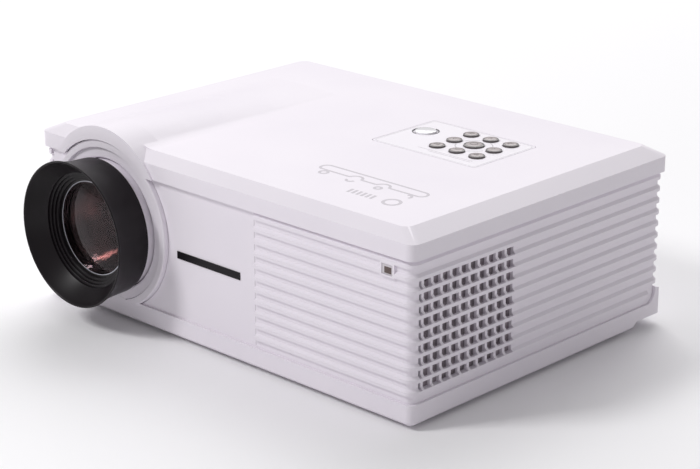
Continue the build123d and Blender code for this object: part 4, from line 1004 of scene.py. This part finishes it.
# ---------------------------------------------------------------- keypad
class Mark(Enum):
    """Figures on the keys, as strokes about the middle of a key."""

    UP = ((((-1.5, -0.8), (0.0, 0.9), (1.5, -0.8)), False),)
    DOWN = ((((-1.5, 0.8), (0.0, -0.9), (1.5, 0.8)), False),)
    LEFT = ((((0.8, -1.5), (-0.9, 0.0), (0.8, 1.5)), False),)
    RIGHT = ((((-0.8, -1.5), (0.9, 0.0), (-0.8, 1.5)), False),)
    OK = (circle(0, 0, 1.9),)
    MENU = tuple((((-1.6, y), (1.6, y)), False) for y in (-1.2, 0.0, 1.2))
    PLAY = ((((-1.3, -1.4), (1.5, 0.0), (-1.3, 1.4)), True),)
    EJECT = ((((-1.5, -0.2), (0.0, 1.5), (1.5, -0.2)), True), (((-1.5, -1.3), (1.5, -1.3)), False))
    SOURCE = (
        (((-1.6, -1.3), (1.6, -1.3), (1.6, 1.3), (-1.6, 1.3)), True), (((-0.7, 0.0), (0.7, 0.0)), False),
    )


@dataclass
class Keypad:
    """Inlaid plate with nine domed keys, the power button and the lines on it."""

    x: float = 76.2
    y: float = 34.3
    pitch: float = 16.4
    radius: float = 5.1
    ok_radius: float = 6.6
    rise: float = 1.5
    power_rise: float = 1.1
    stem_end: float = 109.5
    stem_r: float = 1.3
    flange_top: float = 118.5
    flange_t: float = 1.5
    flange_reach: float = 0.9
    dome_share: float = 0.97
    dome_rise: float = 0.55
    highlight_start: int = 38
    mark_line: float = 0.42
    power: tuple[float, float, float] = (32.4, 37.7, 6.9)
    crescent_gap: float = 1.7
    link_share: float = 0.72
    plate_edge: float = 0.12
    border_x: tuple[float, float] = (21.4, 105.0)
    border_y: tuple[float, float] = (0.6, 58.8)
    border_corner: float = 3.0
    rows_y: tuple[tuple[float, float, float], ...] = ((8.6, 52.0, 97.0), (6.6, 62.0, 97.0))
    switch_z: float = 107.6
    marks: tuple[Mark, ...] = (
        Mark.SOURCE, Mark.DOWN, Mark.EJECT, Mark.LEFT, Mark.OK, Mark.RIGHT, Mark.MENU, Mark.UP, Mark.PLAY,
    )

    def cap(self, radius: float, rise: float) -> Section:
        """Section of a key: stem, flange and a domed cap with a rolled rim."""
        top = LID_TOP + rise
        under = self.flange_top - self.flange_t
        reach = radius + self.flange_reach
        crown = dome(radius * self.dome_share, top - self.dome_rise, self.dome_rise)
        return [
            (0.0, self.stem_end), (self.stem_r, self.stem_end), (self.stem_r, under), (reach, under),
            (reach, self.flange_top), (radius, self.flange_top), (radius, top - 0.75),
            (radius * 0.995, top - 0.6), *crown, (0.0, top),
        ]

    def face(self, radius: float) -> Section:
        """Section of the paler face of a key, just proud of its cap: a painted highlight where light falls on
        the dome.
        """
        top = LID_TOP + self.rise
        under = top - 0.5
        curve = dome(radius * self.dome_share, top - 0.52, self.dome_rise, self.highlight_start, 13)
        return [(0.0, under), (curve[0][0], under), *curve, (0.0, top + 0.03)]

    def build(self) -> None:
        """Add the plate, the keys with their figures and the printed lines."""
        skin("keypad_skin", "keypad_plate", self.plate_edge, WHITE_PLATE)
        dress(BOARD_GREEN, "keypad_board")
        top = LID_TOP + self.rise
        for k, mark in enumerate(self.marks):
            x = self.x + (k % 3 - 1) * self.pitch
            y = self.y + (k // 3 - 1) * self.pitch
            radius = self.ok_radius if mark is Mark.OK else self.radius
            name = "key_" + mark.name.lower()
            cap = self.cap(radius, self.rise)
            place_turned(name + "_cap", cap, (x, y, 0), GREY_KEY, name, [name], Turn.Z, 64)
            # the paler face is a painted highlight on the top of the key
            place_turned(name + "_face", self.face(radius), (x, y, 0), KEY_HIGHLIGHT, name, turn=Turn.Z, steps=48)
            strokes = [moved(stroke, x, y, radius / self.radius) for stroke in mark.value]
            place_lines(name + "_mark", strokes, self.mark_line, (top - 0.3, top + 0.06), KEY_MARK, name)
        self.power_button()
        self.printed_lines()
        self.switches()

    def power_button(self) -> None:
        """Domed white button with a crescent of shade on either side."""
        x, y, radius = self.power
        cap = self.cap(radius, self.power_rise)
        place_turned("power_cap", cap, (x, y, 0), WHITE_BUTTON, "power_key", ["power_button"], Turn.Z, 64)
        reach = radius + self.crescent_gap
        crescents = [(arc(x, y, reach, start, start + 110), False) for start in (150, -30)]
        place_lines("power_crescents", crescents, 0.8, (LID_TOP - 0.4, LID_TOP - 0.05), KEY_SHADE)

    def printed_lines(self) -> None:
        """Lines on the plate: links round the middle key, a border, and two strokes before the keys."""
        span = LID_TOP - 0.05, LID_TOP + 0.02
        reach = self.pitch * self.link_share
        links = [(arc(self.x, self.y, reach, start, start + 50), False) for start in (20, 110, 200, 290)]
        place_lines("keypad_links", links, 0.9, span, PRINT_PALE)
        corner = self.border_corner
        x0, x1 = self.border_x[0] + corner, self.border_x[1] - corner
        y0, y1 = self.border_y[0] + corner, self.border_y[1] - corner
        border = []
        for x, y, start in ((x1, y1, 0), (x0, y1, 90), (x0, y0, 180), (x1, y0, 270)):
            border += arc(x, y, corner, start, start + 90, 6)
        place_lines("keypad_outline", [(tuple(border), True)], 0.45, span, PRINT_PALE)
        rows = [(((start, y), (end, y)), False) for y, start, end in self.rows_y]
        place_lines("keypad_lines", rows, 0.6, span, PRINT_GREY)

    def switches(self) -> None:
        """Low square switches on the board, clear of the stems of the pressed keys."""
        def unit(build: BMesh) -> None:
            """One switch with its plunger."""
            box_into(build, (-2.4, -2.4, 0.0), (2.4, 2.4, 0.2))
            lathe_into(build, [(0, 0.2), (0.9, 0.2), (0.9, 0.3), (0, 0.3)], (0, 0, 0), Turn.Z, 16)

        layout = Repeat(Layout.GRID, unit, 3, self.pitch, 3, self.pitch)
        layout.place("key_switches", SOCKET_BLACK, facing("up", (self.x, self.y, self.switch_z)))


# ---------------------------------------------------------------- lens
@dataclass
class LensGroup:
    """Flared hood, coated front glass, barrel with its baffles, and the glass at its back.

    Outlines are in radius and distance along the axis. Those of the mouth count from the front
    of the hood.
    """

    axis: Point = (LENS_X, 0, LENS_Z)
    hood_front: float = -150.5
    hood_back: float = -124.0
    hood_back_r: float = 44.8
    hood_bore: float = 41.6
    mouth: Outline = (
        (46.9, 0.12), (46.6, 0.5), (45.9, 1.7), (44.5, 3.9), (42.4, 6.8), (40.2, 9.6), (38.3, 11.8),
    )
    flare: Outline = (
        (45.0, -130.0), (45.25, -136.0), (45.7, -140.0), (46.3, -144.0), (47.1, -147.6), (47.85, -149.6),
        (48.0, -150.0), (47.9, -150.35), (47.55, -150.5), (47.2, -150.5),
    )
    ledges: int = 4
    ledge_lip: float = 1.4
    ledge_run: float = 1.85
    ledge_rise: float = 1.4
    glass_r: float = 31.0
    glass_edge_y: float = -131.7
    glass_rise: float = 4.7
    glass_t: float = 5.8
    barrel_front: float = -132.0
    barrel_back: float = -62.0
    barrel_r: float = 41.4
    barrel_bore: float = 36.0
    groove_r: float = 39.6
    groove_y: tuple[float, float] = (-100.3, -93.7)
    seat: tuple[float, float] = (31.2, -125.7)
    stop: tuple[float, float] = (28.5, -123.7)
    sleeve_r: tuple[float, float] = (41.42, 42.3)
    sleeve_back: float = -104.0
    baffles: Outline = ((29.5, -116.0), (28.0, -108.0), (30.0, -92.0), (32.0, -80.0))
    second_r: float = 28.4
    second_rim: float = -123.6
    second_hollow: float = 40.0
    second_t: float = 13.2

    def hood_section(self) -> Section:
        """Hood from its front rim, down the coned inside and its ledges, and back along the outside."""
        back, edge = self.hood_back, self.hood_back_r
        foot = self.barrel_front - 0.3
        section = [(radius, self.hood_front + reach) for radius, reach in self.mouth]
        for k in reversed(range(self.ledges)):
            radius = self.glass_r + self.ledge_lip + self.ledge_run * k
            y = foot - self.ledge_rise * (k + 0.4)
            front = y - self.ledge_rise
            section += [(radius + 0.1, front), (radius, front + 0.1), (radius, y - 0.1)]
        section += [(radius, foot), (self.hood_bore, foot), (self.hood_bore, back)]
        return section + [(edge - 0.6, back), (edge - 0.15, back - 0.15), (edge, back - 0.6), *self.flare]

    def build(self) -> None:
        """Add the pieces of the lens."""
        hood = self.hood_section()
        place_turned("hood_shell", hood, self.axis, HOOD_BLACK, "lens", ["lens_hood"], steps=160)
        self.front_glass()
        self.barrel()
        self.inside()
        skin("rear_glass_skin", "rear_glass", 0.0, INNER_GLASS, "lens")
        dress(INNER_GREY, "glide_ring")
        dress(BARREL_BLACK, "lens_mount")

    def front_glass(self) -> None:
        """Domed glass with a pale ring at its ground edge, which is also a painted highlight of the rim."""
        edge, rise, radius = self.glass_edge_y, self.glass_rise, self.glass_r
        back = edge + self.glass_t
        face = lens_face(radius, (radius**2 + rise**2) / (2 * rise), edge)
        section = [*face, (radius, back), (0.0, back)]
        place_turned("coated_glass", section, self.axis, LENS_GLASS, "lens", ["front_glass"])
        # the pale rim is partly a painted highlight
        inner, outer = radius - 0.45, radius + 0.05
        rim = [(inner, edge - 0.16), (outer, edge - 0.1), (outer, edge + 0.3), (inner, edge + 0.05)]
        place_turned("glass_rim", rim, self.axis, GROUND_EDGE_AND_HIGHLIGHT, "lens")

    def barrel(self) -> None:
        """Barrel with its groove for the guide ring, and the white sleeve behind the hood."""
        bore, outer, front, back = self.barrel_bore, self.barrel_r, self.barrel_front, self.barrel_back
        groove_front, groove_back = self.groove_y
        (seat_r, seat_y), (stop_r, stop_y) = self.seat, self.stop
        section = [
            (seat_r, front), (outer - 0.2, front), (outer, front + 0.2), (outer, groove_front),
            (self.groove_r, groove_front), (self.groove_r, groove_back), (outer, groove_back), (outer, back),
            (bore, back), (bore, stop_y), (stop_r, stop_y), (stop_r, seat_y), (seat_r, seat_y),
        ]
        place_turned("barrel_shell", section, self.axis, BARREL_BLACK, "lens", ["lens_barrel"])
        front, back, (inner, outer) = self.hood_back + 0.1, self.sleeve_back, self.sleeve_r
        sleeve = [(inner, front), (outer, front), (outer, back), (inner, back)]
        place_turned("lens_sleeve", sleeve, self.axis, WHITE_ABS, "lens")

    def inside(self) -> None:
        """Stepped rings inside the barrel, and a hollow second glass that shows behind the first."""
        build = bmesh.new()
        outer = self.barrel_bore - 0.05
        for inner, y in self.baffles:
            section = [(inner, y), (outer, y - 2.0), (outer, y + 1.2), (inner, y + 0.6)]
            lathe_into(build, section, self.axis, Turn.Y, 96)
        place("barrel_baffles", finished(build, "barrel_baffles"), RING_BROWN, "lens")
        radius, back = self.second_r, self.second_rim + self.second_t
        section = [*lens_face(radius, -self.second_hollow, self.second_rim), (radius, back), (0.0, back)]
        place_turned("second_glass", section, self.axis, SECOND_GLASS, "lens")


# ---------------------------------------------------------------- light path and cooling
@dataclass
class LightPath:
    """Lamp module, condenser, panel and field lenses in their tunnel."""

    def build(self) -> None:
        """Dress the pieces that stay hidden in the tunnel."""
        dress(INNER_GREY, "light_tunnel")
        dress(LCD_DARK, "lcd_panel")
        dress(INNER_GLASS, "field_lenses", "condenser_lens")
        dress(SINK_METAL, "lamp_module", "heat_sink")


@dataclass
class Fan:
    """Axial fan behind the vent grid: frame, hub, curved blades and a woven screen."""

    tip: float = 36.4
    hub: float = 16.5
    blades: int = 7
    chord: float = 44.0         # degrees round the hub, at the root
    taper: float = 0.25         # share of the chord lost at the tip
    sweep: float = 6.0          # degrees that the tip runs ahead
    depth: float = 17.0
    bow: float = 1.6
    thickness: float = 1.3
    parts: int = 8              # quads along and across a blade
    frame_edge: float = 0.3
    screen_r: float = 37.8
    screen_gap: float = 0.6
    wire: float = 0.26          # half the width of a wire
    wire_pitch: float = 1.15
    layers: tuple[tuple[float, float], ...] = ((0.0, 0.35), (0.3, 0.65))

    def blade(self, build: BMesh) -> None:
        """Add one curved blade about the hub's axis, which is Z here."""
        root = self.hub - 1.0
        last = self.parts

        def corner(side: int, i: int, j: int) -> BMVert:
            """Corner i out from the root and j along the chord, on one side of the blade."""
            out, s = i / last, j / last - 0.5
            r = root + (self.tip - root) * out
            angle = radians(self.chord * (1.0 - self.taper * out) * s + self.sweep * out)
            z = self.depth * s + self.bow * (1 - 4 * s * s) + side * self.thickness / 2
            return build.verts.new((r * cos(angle), r * sin(angle), z))

        low, high = (
            [[corner(side, i, j) for j in range(last + 1)] for i in range(last + 1)] for side in (-1, 1)
        )
        for sheet in (low, high):
            for i in range(last):
                for j in range(last):
                    build.faces.new([sheet[i][j], sheet[i + 1][j], sheet[i + 1][j + 1], sheet[i][j + 1]])
        for k in range(last):
            for end in (0, last):
                build.faces.new([low[k][end], low[k + 1][end], high[k + 1][end], high[k][end]])
                build.faces.new([low[end][k], low[end][k + 1], high[end][k + 1], high[end][k]])

    def build(self) -> None:
        """Add the rotor and the screen, and dress the frame."""
        low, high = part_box("fan_rotor")
        middle = (low + high) / 2 / MM
        centre = (middle.x, middle.y - FRAME_Y, middle.z)
        half = (high.x - low.x) / 2 / MM
        layout = Repeat(Layout.RING, self.blade, self.blades)
        layout.place("fan_blades", FAN_GREY, facing("right", centre), "fan")
        section = [(0, -half), (self.hub - 1.5, -half), (self.hub, -half + 1.5), (self.hub, half - 2.0),
                   (self.hub - 0.6, half - 0.6), (self.hub - 2.0, half), (0, half)]
        place_turned("fan_hub", section, centre, FAN_GREY, "fan", ["fan_rotor"], Turn.X, 64)
        skin("fan_frame_skin", "fan_frame", self.frame_edge, FAN_GREY)
        self.screen(high.x / MM + self.screen_gap, centre[1], centre[2])

    def screen(self, x: float, y: float, z: float) -> None:
        """Screen in the mouth of the fan about a point, as two layers of wires cut to a circle."""
        build = bmesh.new()
        wires = int(self.screen_r / self.wire_pitch)
        (level_low, level_high), (upright_low, upright_high) = self.layers
        for k in range(-wires, wires + 1):
            left, right = k * self.wire_pitch - self.wire, k * self.wire_pitch + self.wire
            reach = sqrt(self.screen_r**2 - (k * self.wire_pitch) ** 2)
            box_into(build, (x + level_low, y - reach, z + left), (x + level_high, y + reach, z + right))
            box_into(build, (x + upright_low, y + left, z - reach), (x + upright_high, y + right, z + reach))
        place("fan_screen", finished(build, "fan_screen"), SCREEN_GREY)


# ---------------------------------------------------------------- disc drive
@dataclass
class DiscDrive:
    """Tray with its rack, hub, clamp and pick-up in a steel chassis."""

    x: float = 78.0
    y: float = 52.0
    tray_edge: float = 0.25
    trim_edge: float = 0.35
    balls: int = 3
    ball_r: float = 0.9
    ball_reach: float = 6.6
    ball_z: float = 72.2
    pickup_y: float = 27.0
    pickup_top: float = 68.6
    pickup_lens: tuple[float, float] = (2.6, 0.8)

    def build(self) -> None:
        """Dress the mechanism, and add the balls in the hub and the domed lens of the pick-up."""
        skin("tray_skin", "disc_tray", self.tray_edge, TRAY_DARK, "tray")
        skin("fascia_skin", "tray_fascia", self.trim_edge, WHITE_ABS, "tray")
        skin("eject_skin", "eject_button", self.trim_edge, GREY_KEY, "eject")
        dress(SHEET_STEEL, "drive_chassis", "drive_cover")
        dress(POLISHED, "spindle_motor", "sled_rods")
        dress(INNER_GREY, "tray_pinion", "spindle_hub", "clamp_puck", "laser_sled")
        layout = Repeat(Layout.RING, self.ball, self.balls)
        layout.place("hub_catches", POLISHED, facing("up", (self.x, self.y, self.ball_z)), "spindle")
        top, (radius, rise) = self.pickup_top, self.pickup_lens
        section = [(0, top), *dome(radius, top, rise), (0, top + rise)]
        centre = (self.x, self.pickup_y, 0)
        place_turned("pickup_lens", section, centre, INNER_GLASS, "pickup", turn=Turn.Z, steps=32)

    def ball(self, build: BMesh) -> None:
        """One ball, half out of the hub, that holds a disc by its hole."""
        where = Matrix.Translation((self.ball_reach, 0, 0))
        bmesh.ops.create_uvsphere(build, u_segments=16, v_segments=10, radius=self.ball_r, matrix=where)


# ---------------------------------------------------------------- back
@dataclass
class BackPanel:
    """Socket plate with its mains inlet, switch, sockets, speaker and screws."""

    face_y: float = 116.8
    panel_edge: float = 0.2
    socket_edge: float = 0.15
    jack_x: float = -41.48
    jack_pitch: float = 14.06
    upper_z: float = 54.0
    lower_z: float = 40.0
    video_x: float = -91.8
    insert_half: tuple[float, float] = (7.6, 3.3)
    insert_proud: float = 0.4
    insert_corner: float = 1.1
    contacts: tuple[int, int] = (5, 3)
    contact_pitch: tuple[float, float] = (2.6, 2.0)
    screw: tuple[float, float] = (2.4, 0.9)
    screw_rows: tuple[tuple[str, float, float, float], ...] = (
        ("upper_screws", -146.0, 93.0, 138.0), ("lower_screws", -76.5, 33.0, 68.5),
    )

    def build(self) -> None:
        """Dress the sockets, add their inner pieces, and add the screws of the plate."""
        skin("panel_skin", "rear_panel", self.panel_edge, WHITE_ABS)
        for node, finish, body in (
            ("ac_inlet", SOCKET_BLACK, "case"), ("switch_frame", SOCKET_BLACK, "case"),
            ("power_rocker", SOCKET_BLACK, "rocker"), ("vga_socket", SHELL_METAL, "case"),
            ("hdmi_socket", SHELL_METAL, "case"), ("usb_socket", SHELL_METAL, "case"),
        ):
            skin(node + "_skin", node, self.socket_edge, finish, body)
        dress(SHELL_METAL, "av_jacks")
        dress(FAN_GREY, "speaker")
        self.jack_inserts()
        self.video_pins()
        for name, x, z, pitch in self.screw_rows:
            where = facing("back", (x, self.face_y - 0.05, z))
            Repeat(Layout.LINE, screw_head(*self.screw), 2, pitch).place(name, POLISHED, where)

    def jack_inserts(self) -> None:
        """Coloured rings in the upper jacks and black ones in the lower."""
        face = self.face_y + 0.8
        upper = (1.5, 2.85, face - 6.0, face - 0.3)
        lower = (1.2, 1.75, face - 5.0, face - 0.4)
        for name, column, z, finish, (inner, outer, back, front) in (
            ("jack_yellow_insert", 0, self.upper_z, JACK_YELLOW, upper),
            ("jack_white_insert", 1, self.upper_z, JACK_WHITE, upper),
            ("jack_red_insert", 2, self.upper_z, JACK_RED, upper),
            ("sound_in", 0, self.lower_z, SOCKET_BLACK, lower),
            ("sound_out", 1, self.lower_z, SOCKET_BLACK, lower),
        ):
            section = [(inner, back), (outer, back), (outer, front), (inner, front)]
            place_turned(name, section, (self.jack_x + column * self.jack_pitch, 0, z), finish, steps=32)

    def video_pins(self) -> None:
        """Insert with three rows of five contacts."""
        x, y, z = self.video_x, self.face_y + self.insert_proud, self.lower_z
        wide, high = self.insert_half
        block = (x - wide, self.face_y - 2.0, z - high), (x + wide, y, z + high)
        place("video_insert", boxes("video_insert", [block], self.insert_corner), SOCKET_BLACK)

        def contact(build: BMesh) -> None:
            """One round contact."""
            lathe_into(build, [(0, 0), (0.5, 0), (0.5, 0.1), (0.35, 0.15), (0, 0.15)], (0, 0, 0), Turn.Z, 16)

        (columns, rows), (pitch, row_pitch) = self.contacts, self.contact_pitch
        layout = Repeat(Layout.GRID, contact, columns, pitch, rows, row_pitch)
        layout.place("video_contacts", BRASS, facing("back", (x, y, z)))


# ---------------------------------------------------------------- underside and boards
@dataclass
class Underside:
    """Feet, screws, levelling leg and the inserts for a hanging bracket."""

    foot_x: float = 140.0
    foot_y: tuple[tuple[float, float], ...] = ((-96.0, 3.0), (107.0, 7.4))  # place and height
    foot_r: float = 9.0
    screw_x: float = 150.0
    screw_y: float = 70.0
    screw: tuple[float, float] = (3.1, 1.8)
    screw_sunk: float = 2.1
    leg_y: float = -100.0
    wheel_r: float = 9.5
    thread_r: float = 4.0
    thread_depth: float = 0.6
    thread_top: float = 18.4
    turns: int = 10
    ridges: int = 30
    insert_x: float = 60.0
    insert_y: float = 50.0

    def build(self) -> None:
        """Add the pieces under the base."""
        build = bmesh.new()
        radius = self.foot_r
        for x in (-self.foot_x, self.foot_x):
            for y, under in self.foot_y:
                section = [(0, 0.25), (4.5, 0.25), (5.0, 0.0), (radius - 0.9, 0.0), (radius - 0.25, 0.25),
                           (radius, 0.9), (radius, under), (0, under)]
                lathe_into(build, section, (x, y, 0), Turn.Z, 48)
        place("feet", finished(build, "feet"), RUBBER, stands_for=["rubber_feet"])
        screws = Repeat(Layout.GRID, screw_head(*self.screw), 2, 2 * self.screw_x, 2, 2 * self.screw_y)
        where = facing("down", (0, 0, BASE_UNDER + self.screw_sunk))
        screws.place("base_screws", POLISHED, where, stands_for=["case_screws"])
        self.leg()
        inserts = Repeat(Layout.GRID, self.rim, 2, 2 * self.insert_x, 2, 2 * self.insert_y)
        inserts.place("insert_rims", BRASS, facing("down", (0, 0, BASE_UNDER)))

    def leg(self) -> None:
        """Threaded leg with a knurled wheel and its pad."""
        axis = (0, self.leg_y, 0)
        wheel, thread, top = self.wheel_r, self.thread_r, self.thread_top
        root = thread - self.thread_depth
        section = [
            (0, 1.6), (wheel - 0.4, 1.6), (wheel, 1.8), (wheel, 2.5), (wheel - 0.4, 2.7), (thread, 2.7),
        ]
        for k in range(self.turns):
            z = 3.2 + (top - 3.4) * k / self.turns
            section += [(root, z), (thread, z + self.thread_depth)]
        section += [(root, top), (0, top)]
        place_turned("leg_thread", section, axis, SOCKET_BLACK, "leg", ["leg_screw"], Turn.Z, 64)
        knurl = Repeat(Layout.RING, self.ridge, self.ridges)
        knurl.place("leg_knurl", SOCKET_BLACK, facing("up", axis), "leg")
        pad = [(0, 0.25), (5.9, 0.2), (6.4, 0.4), (6.6, 0.7), (6.6, 1.3), (0, 1.3)]
        place_turned("leg_foot", pad, axis, RUBBER, "leg", ["leg_pad"], Turn.Z, 48)

    def ridge(self, build: BMesh) -> None:
        """One ridge of the wheel's knurl."""
        prism_into(build, arc(self.wheel_r - 0.35, 0, 0.5, 0, 330, 11), 1.75, 2.55)

    def rim(self, build: BMesh) -> None:
        """Brass rim of a threaded hole, just proud of the base."""
        section = [(2.05, -0.4), (3.2, -0.4), (3.2, 0.05), (3.0, 0.1), (2.05, 0.1)]
        lathe_into(build, section, (0, 0, 0), Turn.Z, 32)


@dataclass
class Boards:
    """Main board and power board."""

    def build(self) -> None:
        """Dress the boards."""
        dress(BOARD_GREEN, "main_board", "power_board")


# ---------------------------------------------------------------- studio
@dataclass
class Studio:
    """Pale floor, soft light and the camera at the photograph's angle."""

    camera_at: Point = (898.35, -916.57, 503.41)
    camera_turn: Point = (70.68, -0.058, 43.73)
    lens: float = 107.95
    sensor: float = 36.0
    shift: tuple[float, float] = (-0.0119, 0.0025)
    floor_half: float = 6.0
    surround: float = 0.38
    lights: tuple[tuple[str, Point, Point, float, float], ...] = (
        ("back_high", (-1.7, 2.2, 2.8), (0, 0.1, 0), 3.2, 97.0),
        ("front_left", (-0.8, -1.45, 1.6), (0, 0, 0.05), 0.5, 20.5),
    )

    def light(self, name: str, at: Point, to: Point, size: float, power: float) -> None:
        """Add a square soft light.

        Args:
            name: name of the light.
            at: where it stands, in metres.
            to: what it points at, in metres.
            size: side of the square in metres.
            power: power in watts.
        """
        data = bpy.data.lights.new(name, "AREA")
        data.size = size
        data.energy = power
        lamp = added(name, data)
        lamp.location = at
        lamp.rotation_euler = (Vector(to) - Vector(at)).to_track_quat("-Z", "Y").to_euler()

    def build(self) -> None:
        """Add the floor, the lights, the world and the camera."""
        build = bmesh.new()
        bmesh.ops.create_grid(build, x_segments=1, y_segments=1, size=self.floor_half)
        floor = added("floor", closed(build, "floor"))
        floor.data.materials.append(FLOOR_PALE.material())
        for values in self.lights:
            self.light(*values)
        scene = bpy.context.scene
        scene.view_settings.view_transform = "Standard"
        world = bpy.data.worlds.new("studio")
        scene.world = world
        world.use_nodes = True
        set_inputs(world.node_tree.nodes["Background"], Color=(1.0, 1.0, 1.0, 1.0), Strength=self.surround)
        data = bpy.data.cameras.new("camera")
        data.lens = self.lens
        data.sensor_width = self.sensor
        data.shift_x, data.shift_y = self.shift
        camera = added("camera", data)
        camera.location = Vector(self.camera_at) * MM
        camera.rotation_euler = [radians(a) for a in self.camera_turn]
        scene.camera = camera


def main() -> None:
    """Build the sub-assemblies in order."""
    logging.basicConfig(level=logging.INFO, format="%(name)s: %(message)s")
    for part in (
        Housing(), Keypad(), LensGroup(), LightPath(), Fan(), DiscDrive(), BackPanel(), Underside(), Boards(),
    ):
        log.info("building %s", type(part).__name__)
        part.build()
    Studio().build()


if __name__ == "__main__":
    main()
